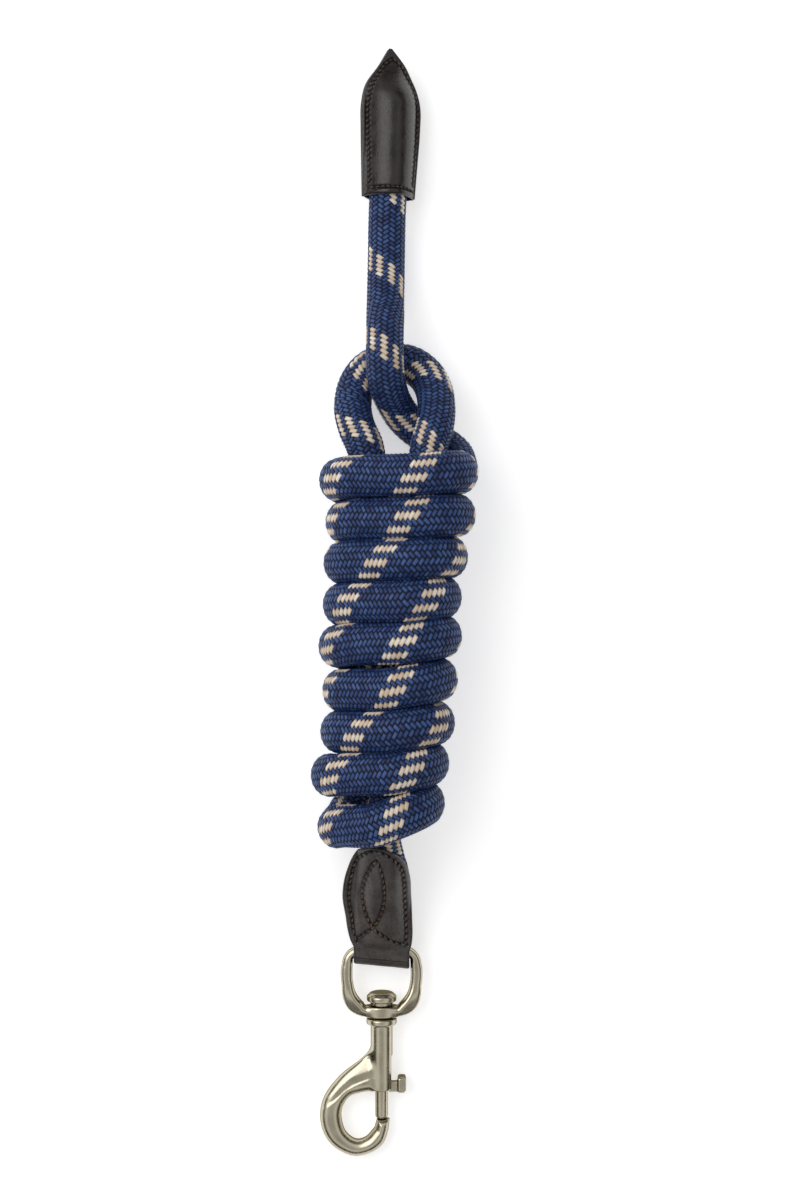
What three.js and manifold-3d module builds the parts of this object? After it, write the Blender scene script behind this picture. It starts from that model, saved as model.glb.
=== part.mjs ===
// Lead rope for a horse: a braided rope wound into a hank, with a swivel bolt snap sewn on at one end
// in a folded leather chape and a pointed leather cap sewn over the other end.
// Millimetres, +Z up. The rope lies on the floor plane z = 0, the cap at +Y and the snap at -Y.
// The origin is under the middle of the fittings: snap, chape and cap.
import * as THREE from 'three';
import { mergeVertices } from 'three/addons/utils/BufferGeometryUtils.js';
import Module from 'manifold-3d';

const wasm = await Module();
wasm.setup();

// ---- Driving dimensions ----
const ROPE_R = 8.5;
const FLOOR_GAP = 0.1;
const GAP = 0.3;
const LEATHER = 2.0;
const SEAM_GAP = 0.4;
const THREAD_R = 0.4;
const THREAD_SIDES = 6;
const ROPE_SIDES = 10;

// Snap, in its own frame: +Y runs along the swivel axis to the eye bar, whose centre is the origin.
const EYE_BAR = { x: 4.6, y: -156.6, z: 8.3 };
const SNAP_TILT = THREE.MathUtils.degToRad(2.45);
const EYE_INNER_HALF = 12.95;
const EYE_ARM = 5.3;
const EYE_BAR_THICK = 5.0;
const CURVE_STEPS = 5;
const SPLINE_STEPS = 3;
const BOSS_TOP = -24.1;
const BOSS_BOTTOM = -29.4;
const BOSS_R = 7.0;
const BOSS_THICK = 10.5;
const RIVET_HEAD_TOP = -18.1;
const RIVET_HEAD_BOTTOM = -22.0;
const RIVET_HEAD_R = 6.7;
const RIVET_NECK_R = 5.7;
const RIVET_SHANK_R = 2.8;
const RIVET_SHANK_END = -36.0;
const COLLAR_R = 6.8;
const COLLAR_TOP = BOSS_BOTTOM - GAP;
const COLLAR_BOTTOM = -32.6;
const BARREL_R = 4.9;
const BARREL_END = -62.4;
const BORE_R = 3.3;
const HOOK_THICK = 8.8;
const HOOK_BEVEL = 2.0;
const HOOK_SEAT = -75.5;
const MOUTH_LEFT = -3.4;
const BOLT_R = 2.85;
const BOLT_TIP = -75.2;
const BOLT_TOP = -53.0;
const BOLT_TRAVEL = 11.5;
const STEM_TOP = -58.6;
const STEM_BOTTOM = -62.4;
const STEM_THICK = 3.0;
const KNOB_INNER = 7.0;
const KNOB_OUTER = 11.0;
const KNOB_TOP = -56.1;
const KNOB_BOTTOM = -63.4;
const KNOB_THICK = 8.0;
const SPRING_R = 2.4;
const SPRING_WIRE_R = 0.3;
const SPRING_COILS = 7;

// Chape, in its own frame: +Y climbs from the eye bar to the hank, +Z is the side that faces up.
const CHAPE_SLOPE = THREE.MathUtils.degToRad(19.4);
const CHAPE_LENGTH = 56.4;
const LOWER_LEAF_SHARE = 0.93;
const FOLD_R = 4.5;
const FOLD_BLEND = 9.0;
const CHAPE_COVER = 12.5;
const CHAPE_SEAM_IN = 2.9;
const ROPE_CUT = 12.0;
const ROPE_FULL = 44.0;
const ROPE_FLAT = 0.42;
const ROPE_SPREAD = 1.12;

// Cap, in its own frame: +Y runs from the hem to the point, rolled so that its left edge stands up.
const CAP_ROLL = THREE.MathUtils.degToRad(16);
const CAP_YAW = THREE.MathUtils.degToRad(-1.5);
const CAP_HEM = { x: 7.3, y: 182.4, z: 12.4 };
const CAP_LENGTH = 66.6;
const CAP_COVER = 11.8;
const CAP_BULGE = 9.2;
const CAP_SEAM_IN = 2.2;
const CAP_HEM_IN = 3.0;
const ROPE_IN_CAP = 42.0;

// Hank: nine turns wound tightly round two strands of the same rope.
const HANK_THICK = 54.0;
const HANK_TOP = { y: 63.6, left: -21.5, right: 46.5 };
const HANK_BOTTOM = { y: -102.6, left: -24.0, right: 32.5 };

const NICKEL = { color: 0xb3aca0, roughness: 0.32, metalness: 1.0 };
const STEEL = { color: 0x9a9a98, roughness: 0.35, metalness: 1.0 };
const ROPE_BLUE = { color: 0x24386f, roughness: 0.75, metalness: 0.0 };
const LEATHER_BROWN = { color: 0x2b2321, roughness: 0.45, metalness: 0.0 };
const THREAD_BROWN = { color: 0x4a2f22, roughness: 0.8, metalness: 0.0 };

// ---- Helpers ----
function part(name, geometry, look) {
  const mesh = new THREE.Mesh(geometry, new THREE.MeshStandardMaterial(look));
  mesh.name = name;
  return mesh;
}

function solidOf(geometry) {
  const bare = geometry.clone();
  bare.deleteAttribute('normal');
  bare.deleteAttribute('uv');
  const merged = mergeVertices(bare, 1e-4);
  const triVerts = new Uint32Array(merged.index.array);
  const vertProperties = merged.attributes.position.array;
  return new wasm.Manifold(new wasm.Mesh({ numProp: 3, vertProperties, triVerts }));
}

function geometryOf(solid) {
  const { numProp, vertProperties, triVerts } = solid.getMesh();
  const positions = new THREE.InterleavedBuffer(vertProperties, numProp);
  const geometry = new THREE.BufferGeometry();
  geometry.setAttribute('position', new THREE.InterleavedBufferAttribute(positions, 3, 0));
  geometry.setIndex(new THREE.BufferAttribute(triVerts, 1));
  return geometry.toNonIndexed();
}

// A closed body of revolution round Y from [radius, y] pairs that start and end on the axis.
function turned(profile, segments) {
  const points = profile.map(([radius, y]) => new THREE.Vector2(radius, y));
  return new THREE.LatheGeometry(points, segments);
}

// A flat outline with rounded edges, centred on z = 0, `thick` deep in all.
function casting(shape, thick, bevel, curveSegments) {
  const depth = thick - 2 * bevel;
  const geometry = new THREE.ExtrudeGeometry(shape, {
    depth,
    bevelEnabled: true,
    bevelThickness: bevel,
    bevelSize: bevel,
    bevelOffset: -bevel,
    bevelSegments: 2,
    curveSegments,
  });
  return geometry.translate(0, 0, -depth / 2);
}

function box(x0, x1, y0, y1, z0, z1) {
  const geometry = new THREE.BoxGeometry(x1 - x0, y1 - y0, z1 - z0);
  return geometry.translate((x0 + x1) / 2, (y0 + y1) / 2, (z0 + z1) / 2);
}

function tube(points, radius, sides, steps) {
  const section = new THREE.Shape();
  section.absarc(0, 0, radius, 0, 2 * Math.PI);
  const extrudePath = new THREE.CatmullRomCurve3(points, false, 'centripetal');
  return new THREE.ExtrudeGeometry(section, { extrudePath, steps, curveSegments: sides / 2 });
}

function vectors(points) {
  return points.map(([x, y, z]) => new THREE.Vector3(x, y, z));
}

// A smooth function through hand-set [position, value] pairs.
function smooth(pairs) {
  const positions = pairs.map(([position]) => position);
  const values = pairs.map(([, value]) => value);
  const curve = new THREE.CubicInterpolant(positions, values, 1);
  const last = positions.length - 1;
  return (t) => curve.evaluate(THREE.MathUtils.clamp(t, positions[0], positions[last]))[0];
}

// A sheet of leather: place(across, along, layer) maps -1..1, 0..1 and -1..1 to a point.
function sheet(acrossSteps, alongSteps, place) {
  const geometry = new THREE.BoxGeometry(2, 1, 2, acrossSteps, alongSteps, 1);
  const position = geometry.attributes.position;
  for (let i = 0; i < position.count; i += 1) {
    const across = position.getX(i);
    const along = position.getY(i) + 0.5;
    const layer = position.getZ(i);
    const point = place(across, along, layer);
    position.setXYZ(i, point.x, point.y, point.z);
  }
  return geometry;
}

// How much longer a step square to a sloping surface is when it is measured straight up.
function lean(height, x, y) {
  const step = 0.05;
  const slopeX = (height(x + step, y) - height(x - step, y)) / (2 * step);
  const slopeY = (height(x, y + step) - height(x, y - step)) / (2 * step);
  return Math.hypot(1, slopeX, slopeY);
}

// ---- Swivel bolt snap ----
// One edge of the eye: the bar across the top, two bowed arms and a bowl at the bottom.
function eyeOutline(grow, corner) {
  const half = EYE_INNER_HALF + grow;
  const top = EYE_BAR_THICK * (grow / EYE_ARM - 0.5);
  const bowl = -24.4 - 0.86 * grow;
  const shape = new THREE.Shape();
  shape.moveTo(-half + corner, top);
  shape.lineTo(half - corner, top);
  shape.quadraticCurveTo(half - 0.5, top, half - 0.3, top - corner - 0.5);
  shape.bezierCurveTo(half + 0.4, top - 9, half + 0.2, -12, half - 0.4, -15.2);
  shape.bezierCurveTo(half - 1.5, -20.5 - 0.55 * grow, half - 5, bowl + 1.8, 6, bowl);
  shape.lineTo(-6, bowl);
  shape.bezierCurveTo(-half + 5, bowl + 1.8, -half + 1.5, -20.5 - 0.55 * grow, -half + 0.4, -15.2);
  shape.bezierCurveTo(-half - 0.2, -12, -half - 0.4, top - 9, -half + 0.3, top - corner - 0.5);
  shape.quadraticCurveTo(-half + 0.5, top, -half + corner, top);
  return shape;
}

function swivelEye() {
  const outline = eyeOutline(EYE_ARM, 4.5);
  outline.holes.push(new THREE.Path(eyeOutline(0, 1.0).getPoints(CURVE_STEPS).reverse()));
  const frame = solidOf(casting(outline, EYE_ARM, 1.5, CURVE_STEPS));
  const bossDepth = BOSS_TOP - BOSS_BOTTOM;
  const boss = new THREE.CylinderGeometry(BOSS_R, BOSS_R, bossDepth, 24);
  boss.scale(1, 1, BOSS_THICK / (2 * BOSS_R));
  boss.translate(0, (BOSS_TOP + BOSS_BOTTOM) / 2, 0);
  const holeR = RIVET_SHANK_R + GAP;
  const hole = new THREE.CylinderGeometry(holeR, holeR, 2 * bossDepth, 24);
  hole.translate(0, (BOSS_TOP + BOSS_BOTTOM) / 2, 0);
  const headRoom = box(-RIVET_HEAD_R - 1, RIVET_HEAD_R + 1, BOSS_TOP, BOSS_TOP + 9, -9, 9);
  const faceRoom = box(-BOSS_R - 2, BOSS_R + 2, BOSS_BOTTOM - 9, BOSS_BOTTOM, -9, 9);
  const rough = frame.add(solidOf(boss)).subtract(solidOf(hole));
  return rough.subtract(solidOf(headRoom)).subtract(solidOf(faceRoom));
}

function swivelRivet() {
  const edge = 0.9;
  return turned([
    [0, RIVET_SHANK_END],
    [RIVET_SHANK_R, RIVET_SHANK_END],
    [RIVET_SHANK_R, BOSS_TOP + GAP],
    [RIVET_NECK_R, BOSS_TOP + GAP],
    [RIVET_NECK_R, RIVET_HEAD_BOTTOM],
    [RIVET_HEAD_R, RIVET_HEAD_BOTTOM],
    [RIVET_HEAD_R, RIVET_HEAD_TOP - edge],
    [RIVET_HEAD_R - edge, RIVET_HEAD_TOP],
    [0, RIVET_HEAD_TOP],
  ], 28);
}

function planePoints(points) {
  return points.map(([x, y]) => new THREE.Vector2(x, y));
}

// The corners at the root and at the tip are straight for longer than the rounding of the edges.
function hookOutline() {
  const shape = new THREE.Shape();
  shape.moveTo(-3.6, -43.5);
  shape.lineTo(-9.6, -48.8);
  shape.splineThru(planePoints([
    [-18.5, -55.8], [-25.4, -64.6], [-27.7, -73.0], [-26.4, -81.4], [-21.6, -88.2],
    [-13.0, -92.4], [-4.8, -90.9], [0.8, -86.6], [3.1, -80.6],
  ]));
  shape.lineTo(3.6, HOOK_SEAT);
  shape.lineTo(-2.1, HOOK_SEAT);
  shape.lineTo(-3.2, -79.6);
  shape.splineThru(planePoints([
    [-7.2, -84.0], [-11.9, -84.9], [-16.3, -81.2], [-18.1, -74.8], [-17.3, -69.6], [-14.0, -65.2], [-8.9, -63.5],
  ]));
  shape.lineTo(-3.6, -62.2);
  return shape;
}

function snapBody() {
  const hook = solidOf(casting(hookOutline(), HOOK_THICK, HOOK_BEVEL, SPLINE_STEPS));
  const shell = solidOf(turned([
    [0, BARREL_END],
    [BARREL_R, BARREL_END],
    [BARREL_R, COLLAR_BOTTOM - 0.6],
    [COLLAR_R - 0.7, COLLAR_BOTTOM],
    [COLLAR_R, COLLAR_BOTTOM + 0.8],
    [COLLAR_R, COLLAR_TOP - 0.5],
    [COLLAR_R - 0.5, COLLAR_TOP],
    [0, COLLAR_TOP],
  ], 28));
  const boreLength = COLLAR_TOP - BARREL_END + 2;
  const bore = new THREE.CylinderGeometry(BORE_R, BORE_R, boreLength, 24);
  bore.translate(0, (COLLAR_TOP + BARREL_END) / 2, 0);
  const slotHalf = STEM_THICK / 2 + GAP;
  const slotTop = STEM_TOP + BOLT_TRAVEL + GAP;
  const slot = box(0, BARREL_R + 3, BARREL_END - 1, slotTop, -slotHalf, slotHalf);
  const mouth = box(MOUTH_LEFT, 9, BOLT_TIP, BARREL_END, -9, 9);
  const barrel = shell.subtract(solidOf(bore)).subtract(solidOf(slot));
  const trimmed = hook.subtract(solidOf(bore)).subtract(solidOf(slot)).subtract(solidOf(mouth));
  return trimmed.add(barrel);
}

function snapBolt() {
  return turned([
    [0, BOLT_TIP],
    [BOLT_R - 0.4, BOLT_TIP],
    [BOLT_R, BOLT_TIP + 0.5],
    [BOLT_R, BOLT_TOP - 0.4],
    [BOLT_R - 0.4, BOLT_TOP],
    [0, BOLT_TOP],
  ], 24);
}

function thumbKnob() {
  const stemStart = BOLT_R + GAP;
  const stem = box(stemStart, KNOB_INNER + 1, STEM_BOTTOM, STEM_TOP, -STEM_THICK / 2, STEM_THICK / 2);
  const pad = new THREE.Shape();
  const corner = 1.2;
  pad.moveTo(KNOB_INNER, KNOB_BOTTOM);
  pad.lineTo(KNOB_OUTER - corner, KNOB_BOTTOM);
  pad.quadraticCurveTo(KNOB_OUTER, KNOB_BOTTOM, KNOB_OUTER, KNOB_BOTTOM + 1.6 * corner);
  pad.lineTo(KNOB_OUTER, KNOB_TOP - corner);
  pad.quadraticCurveTo(KNOB_OUTER, KNOB_TOP, KNOB_OUTER - corner, KNOB_TOP);
  pad.lineTo(KNOB_INNER + corner, KNOB_TOP);
  pad.quadraticCurveTo(KNOB_INNER, KNOB_TOP, KNOB_INNER, KNOB_TOP - corner);
  pad.closePath();
  return solidOf(stem).add(solidOf(casting(pad, KNOB_THICK, 0.8, 3)));
}

function boltSpring() {
  const start = BOLT_TOP + GAP + SPRING_WIRE_R;
  const end = RIVET_SHANK_END - GAP - SPRING_WIRE_R;
  const stepsPerCoil = 9;
  const points = [];
  for (let i = 0; i <= SPRING_COILS * stepsPerCoil; i += 1) {
    const turn = i / stepsPerCoil;
    const angle = 2 * Math.PI * turn;
    const y = start + ((end - start) * turn) / SPRING_COILS;
    points.push(new THREE.Vector3(SPRING_R * Math.cos(angle), y, SPRING_R * Math.sin(angle)));
  }
  return tube(points, SPRING_WIRE_R, THREAD_SIDES, SPRING_COILS * stepsPerCoil);
}

function snapGroup() {
  const group = new THREE.Group();
  group.position.set(EYE_BAR.x, EYE_BAR.y, EYE_BAR.z);
  group.rotation.x = SNAP_TILT;
  group.add(part('swivel_eye', geometryOf(swivelEye()), NICKEL));
  group.add(part('swivel_rivet', swivelRivet(), NICKEL));
  group.add(part('snap_body', geometryOf(snapBody()), NICKEL));
  group.add(part('snap_bolt', snapBolt(), NICKEL));
  group.add(part('thumb_knob', geometryOf(thumbKnob()), NICKEL));
  group.add(part('bolt_spring', boltSpring(), STEEL));
  return group;
}

// ---- Leather chape ----
const chapeHalfWidth = smooth([
  [0, 11.6], [3.5, 11.7], [7, 13.3], [18, 14.9], [29, 15.3], [41, 13.2], [51, 8.5], [56.4, 2.4],
]);
const chapeMiddle = smooth([[0, 0], [3.5, 0], [7, -0.3], [18, -1.1], [29, -2.0], [41, -2.2], [56.4, -3.1]]);

function ropeMiddle(y) {
  return -0.6 + (y - ROPE_CUT) * 0.071;
}

function ropeFlattening(y) {
  return THREE.MathUtils.smoothstep(y, ROPE_CUT, ROPE_FULL);
}

// Height of the middle of a leaf over the plane between the two leaves.
function chapeHeight(x, y) {
  const seated = (LEATHER + SEAM_GAP) / 2;
  const ropeHalf = ROPE_R * THREE.MathUtils.lerp(ROPE_FLAT, 1, ropeFlattening(y));
  const rise = THREE.MathUtils.smoothstep(y, ROPE_CUT - 8, ROPE_CUT - 1);
  const bulge = (ropeHalf + 3 * GAP + LEATHER / 2 - seated) * rise;
  const off = Math.min(1, Math.abs(x - ropeMiddle(y)) / CHAPE_COVER);
  const fold = (FOLD_R - seated) * (1 - THREE.MathUtils.smoothstep(y, 0, FOLD_BLEND));
  return seated + fold + bulge * (1 - off * off);
}

// The lower leaf is the same outline, a little shorter.
function leafY(y, side) {
  return side > 0 ? y : y * LOWER_LEAF_SHARE;
}

function chapePoint(across, y, side, layer) {
  const x = chapeMiddle(y) + across * chapeHalfWidth(y);
  const along = leafY(y, side);
  const height = chapeHeight(x, along) + layer * (LEATHER / 2);
  return new THREE.Vector3(x, along, side * height);
}

// The strap runs down its upper leaf, round the eye bar and back up its lower leaf.
function chapeStrap() {
  const foldShare = 0.12;
  const leafShare = (1 - foldShare) / 2;
  return sheet(12, 42, (right, along, layer) => {
    const across = -right;
    if (along <= leafShare) {
      const y = CHAPE_LENGTH * (1 - along / leafShare);
      return chapePoint(across, y, 1, layer);
    }
    if (along >= 1 - leafShare) {
      const y = CHAPE_LENGTH * (1 - (1 - along) / leafShare);
      return chapePoint(across, y, -1, layer);
    }
    const angle = (Math.PI * (along - leafShare)) / foldShare;
    const radius = FOLD_R + layer * (LEATHER / 2);
    const x = chapeMiddle(0) + across * chapeHalfWidth(0);
    return new THREE.Vector3(x, -radius * Math.sin(angle), radius * Math.cos(angle));
  });
}

// A seam lies on the outer face of one leaf; `lift` carries a crossing pass over the other.
function onChape(x, y, side, lift) {
  const along = leafY(y, side);
  const clear = (2 * GAP + THREAD_R) * lean(chapeHeight, x, along);
  return new THREE.Vector3(x, along, side * (chapeHeight(x, along) + LEATHER / 2 + clear + lift));
}

function chapeEdgeSeam(side) {
  const points = [];
  const low = 8;
  const high = 49;
  const steps = 9;
  const topSteps = 6;
  const edge = (i, hand) => {
    const y = low + ((high - low) * i) / steps;
    const x = chapeMiddle(y) + hand * (chapeHalfWidth(y) - CHAPE_SEAM_IN);
    return onChape(x, y, side, 0);
  };
  for (let i = 0; i < steps; i += 1) points.push(edge(i, -1));
  for (let i = 0; i <= topSteps; i += 1) {
    const angle = Math.PI * (1 - i / topSteps);
    const half = chapeHalfWidth(high) - CHAPE_SEAM_IN;
    const x = chapeMiddle(high) + half * Math.cos(angle);
    points.push(onChape(x, high + 4 * Math.sin(angle), side, 0));
  }
  for (let i = steps - 1; i >= 0; i -= 1) points.push(edge(i, 1));
  return tube(points, THREAD_R, THREAD_SIDES, 44);
}

// The inner seam climbs from one lower corner, rounds an almond and crosses itself to the other.
function chapeInnerSeam(side) {
  const overpass = 4 * THREAD_R;
  const route = [
    [-9.4, 7.5, 0], [-5.8, 10.5, 0], [-2.4, 13.6, 0], [0.6, 19.0, 0], [2.2, 25.0, 0], [2.3, 32.0, 0],
    [0.8, 39.0, 0], [-2.2, 44.5, 0], [-5.3, 39.0, 0], [-7.2, 32.0, 0], [-7.0, 25.0, 0], [-5.0, 18.5, 0.3],
    [-2.2, 13.6, 1], [1.8, 11.0, 0.3], [5.8, 8.4, 0], [8.6, 6.2, 0],
  ];
  const points = route.map(([x, y, over]) => onChape(x, y, side, over * overpass));
  return tube(points, THREAD_R, THREAD_SIDES, 44);
}

// The cut end is pressed flat between the leaves; the other end is square to the hank.
function ropeSnapEnd() {
  const path = vectors([[-0.6, ROPE_CUT, 0], [0.5, 28, 0], [1.5, 42, 0], [2.8, 60.4, 0]]);
  const geometry = tube(path, ROPE_R, ROPE_SIDES, 14);
  const position = geometry.attributes.position;
  const hankDistance = HANK_BOTTOM.y - GAP - EYE_BAR.y;
  for (let i = 0; i < position.count; i += 1) {
    const y = position.getY(i);
    const share = ropeFlattening(y);
    const middle = ropeMiddle(y);
    const spread = THREE.MathUtils.lerp(ROPE_SPREAD, 1, share);
    const z = position.getZ(i) * THREE.MathUtils.lerp(ROPE_FLAT, 1, share);
    const limit = (hankDistance + z * Math.sin(CHAPE_SLOPE)) / Math.cos(CHAPE_SLOPE);
    position.setXYZ(i, middle + (position.getX(i) - middle) * spread, Math.min(y, limit), z);
  }
  return geometry;
}

function chapeGroup() {
  const group = new THREE.Group();
  group.position.set(EYE_BAR.x, EYE_BAR.y, EYE_BAR.z);
  group.rotation.x = CHAPE_SLOPE;
  group.add(part('rope_snap_end', ropeSnapEnd(), ROPE_BLUE));
  group.add(part('chape_strap', chapeStrap(), LEATHER_BROWN));
  group.add(part('chape_edge_needle_thread', chapeEdgeSeam(1), THREAD_BROWN));
  group.add(part('chape_edge_bobbin_thread', chapeEdgeSeam(-1), THREAD_BROWN));
  group.add(part('chape_inner_needle_thread', chapeInnerSeam(1), THREAD_BROWN));
  group.add(part('chape_inner_bobbin_thread', chapeInnerSeam(-1), THREAD_BROWN));
  return group;
}

// ---- Leather end cap ----
const capHalfWidth = smooth([
  [0, 12.0], [13, 12.7], [30, 13.5], [40, 13.3], [48, 11.6], [54, 8.9], [60, 5.1], [66.6, 0.7],
]);
const capMiddle = smooth([[0, 0.3], [13, 0.4], [30, 0.5], [40, 0.6], [50, 0.9], [60, 0.7], [66.6, 0.1]]);

function capHeight(x, y) {
  const seated = (LEATHER + SEAM_GAP) / 2;
  const fade = 1 - THREE.MathUtils.smoothstep(y, ROPE_IN_CAP - 2, CAP_LENGTH - 4);
  const cover = Math.min(CAP_COVER, Math.max(1, capHalfWidth(y) - 1));
  const off = Math.min(1, Math.abs(x - capMiddle(y)) / cover);
  return seated + CAP_BULGE * fade * (1 - off * off);
}

function capLeaf(side) {
  return sheet(12, 16, (across, along, layer) => {
    const y = along * CAP_LENGTH;
    const x = capMiddle(y) + across * capHalfWidth(y);
    return new THREE.Vector3(x, y, side * capHeight(x, y) + layer * (LEATHER / 2));
  });
}

function onCap(x, y, side) {
  const clear = (GAP + THREAD_R) * lean(capHeight, x, y);
  return new THREE.Vector3(x, y, side * (capHeight(x, y) + LEATHER / 2 + clear));
}

function capEdgeSeam(side) {
  const points = [];
  const low = CAP_HEM_IN + 2.5;
  const high = 59;
  const steps = 8;
  const edge = (i, hand) => {
    const y = low + ((high - low) * i) / steps;
    return onCap(capMiddle(y) + hand * (capHalfWidth(y) - CAP_SEAM_IN), y, side);
  };
  for (let i = 0; i <= steps; i += 1) points.push(edge(i, -1));
  points.push(onCap(capMiddle(62), 62, side));
  for (let i = steps; i >= 0; i -= 1) points.push(edge(i, 1));
  return tube(points, THREAD_R, THREAD_SIDES, 40);
}

function capHemSeam(side) {
  const points = [];
  const steps = 14;
  const half = capHalfWidth(CAP_HEM_IN) - CAP_SEAM_IN;
  for (let i = 0; i <= steps; i += 1) {
    const across = (2 * i) / steps - 1;
    points.push(onCap(capMiddle(CAP_HEM_IN) + across * half, CAP_HEM_IN, side));
  }
  return tube(points, THREAD_R, THREAD_SIDES, 18);
}

function capGroup() {
  const group = new THREE.Group();
  group.position.set(CAP_HEM.x, CAP_HEM.y, CAP_HEM.z);
  group.rotation.order = 'ZYX';
  group.rotation.y = CAP_ROLL;
  group.rotation.z = CAP_YAW;
  group.add(part('cap_front_leaf', capLeaf(1), LEATHER_BROWN));
  group.add(part('cap_back_leaf', capLeaf(-1), LEATHER_BROWN));
  group.add(part('cap_edge_needle_thread', capEdgeSeam(1), THREAD_BROWN));
  group.add(part('cap_edge_bobbin_thread', capEdgeSeam(-1), THREAD_BROWN));
  group.add(part('cap_hem_needle_thread', capHemSeam(1), THREAD_BROWN));
  group.add(part('cap_hem_bobbin_thread', capHemSeam(-1), THREAD_BROWN));
  return group;
}

// ---- Rope ----
// The loop stands out of the top of the hank, droops to the floor and goes back in.
const LOOP_ROUTE = [
  [-2.6, 64.0, 24], [-2.6, 69.0, 24], [-6.4, 78, 20.5], [-8.2, 88, 15.5], [-6.0, 98.5, 11.0], [-0.5, 105.3, 8.8],
  [7.5, 108, FLOOR_GAP + ROPE_R], [17, 107.3, FLOOR_GAP + ROPE_R], [24.5, 102.5, 10.8],
  [28.2, 95, 15.8], [29.2, 86, 22.5], [28, 77, 28], [25.6, 69, 30.4], [25.5, 64.0, 30.4],
];

// The tail leaves the last turn, passes under the right leg of the loop and over its top to the cap.
const TAIL_ROUTE = [
  [38.0, 64.2, 12.1], [38.0, 66.8, 12.0], [36.2, 70.8, 10.0], [30.0, 73.9, FLOOR_GAP + ROPE_R], [21.5, 77.0, 8.8],
  [14.8, 83.2, 11.2], [10.2, 90.5, 16.3], [7.4, 98.2, 23.4], [6.4, 107, 26.8], [6.3, 117, 25.2],
  [6.4, 130, 17.8], [6.6, 144, 11.4], [6.8, 157, 9.2], [7.0, 169, 10.3], [7.5, 182, 12.4],
  [8.2, 203, 12.4], [9.0, 223.9, 12.4],
];

function hank() {
  const radius = HANK_THICK / 2;
  const section = new THREE.Shape();
  const flat = 0.5;
  section.absarc(flat, 0, radius, -Math.PI / 2, Math.PI / 2);
  section.absarc(-flat, 0, radius, Math.PI / 2, 1.5 * Math.PI);
  const length = HANK_TOP.y - HANK_BOTTOM.y;
  const geometry = new THREE.ExtrudeGeometry(section, { depth: length, bevelEnabled: false, curveSegments: 12 });
  geometry.rotateX(-Math.PI / 2);
  geometry.translate(0, HANK_BOTTOM.y, radius);
  const position = geometry.attributes.position;
  for (let i = 0; i < position.count; i += 1) {
    const share = (position.getY(i) - HANK_BOTTOM.y) / length;
    const left = THREE.MathUtils.lerp(HANK_BOTTOM.left, HANK_TOP.left, share);
    const right = THREE.MathUtils.lerp(HANK_BOTTOM.right, HANK_TOP.right, share);
    const stretch = (right - left) / 2 - radius - flat;
    position.setX(i, position.getX(i) + (left + right) / 2 + stretch * Math.sign(position.getX(i)));
  }
  return geometry;
}

function ropeGroup() {
  const group = new THREE.Group();
  group.add(part('rope_hank', hank(), ROPE_BLUE));
  group.add(part('rope_loop', tube(vectors(LOOP_ROUTE), ROPE_R, ROPE_SIDES, 26), ROPE_BLUE));
  group.add(part('rope_tail', tube(vectors(TAIL_ROUTE), ROPE_R, ROPE_SIDES, 36), ROPE_BLUE));
  return group;
}

const leadRope = new THREE.Group();
leadRope.add(ropeGroup(), chapeGroup(), capGroup(), snapGroup());

export default leadRope;
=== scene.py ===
"""Looks of the lead rope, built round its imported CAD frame.

Lengths are written in millimetres, as in the part's source, and turned into metres by MM.
"""
import math

import bpy
import numpy as np
from mathutils import Matrix, Vector, noise


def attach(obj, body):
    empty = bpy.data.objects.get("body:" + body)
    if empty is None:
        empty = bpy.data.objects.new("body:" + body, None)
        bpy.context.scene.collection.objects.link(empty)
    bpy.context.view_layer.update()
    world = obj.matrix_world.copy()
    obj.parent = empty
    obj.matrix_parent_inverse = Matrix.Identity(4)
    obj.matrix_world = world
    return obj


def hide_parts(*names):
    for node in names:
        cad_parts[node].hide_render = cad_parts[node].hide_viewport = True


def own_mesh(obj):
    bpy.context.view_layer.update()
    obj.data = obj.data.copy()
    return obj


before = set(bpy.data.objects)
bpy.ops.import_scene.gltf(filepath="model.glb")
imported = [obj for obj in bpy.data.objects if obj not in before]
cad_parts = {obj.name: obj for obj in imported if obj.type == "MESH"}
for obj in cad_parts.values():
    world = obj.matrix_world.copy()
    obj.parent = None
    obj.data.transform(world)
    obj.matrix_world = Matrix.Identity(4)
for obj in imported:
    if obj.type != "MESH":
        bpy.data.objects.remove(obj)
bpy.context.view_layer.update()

MM = 0.001
ROPE_BODY = "rope_and_leather"

# Rope
ROPE_D = 17.0
WRAP_RADIAL = 15.9
WRAP_AXIAL = 18.9
CORE_D = 15.2
CROSSING_D = 16.2
CUT_END = (7.2, 19.0)
HALFWAY_FLAT = (12.2, 17.9)

# Route, in the same numbers as the CAD tubes. Each turn of the hank, from the bottom up, is
# (x of the left strand it lies on, x of the right strand, y at its left end, y at its right end).
LEFT_STRAND_Z = 23.5
RIGHT_STRAND_Z = 31.5
TURN_REACH = 15.3
TURNS = [
    (-0.8, 9.4, -98.6, -87.4),
    (-3.4, 11.3, -75.8, -69.9),
    (0.8, 13.8, -56.7, -52.3),
    (1.7, 15.1, -38.5, -33.3),
    (0.0, 16.9, -19.0, -14.5),
    (1.9, 16.8, -0.6, 2.6),
    (2.2, 19.5, 17.8, 20.2),
    (3.1, 22.9, 35.6, 38.4),
    (0.3, 23.8, 54.2, 57.0),
]
POINTS_PER_TURN = 18
EYE_BAR = (4.6, -156.6, 8.3)
CHAPE_SLOPE = math.radians(19.4)
SNAP_END_ROUTE = [(-0.6, 12, 0), (0.8, 28, 0), (2.6, 42, 0), (0.0, 60.4, 0)]
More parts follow.
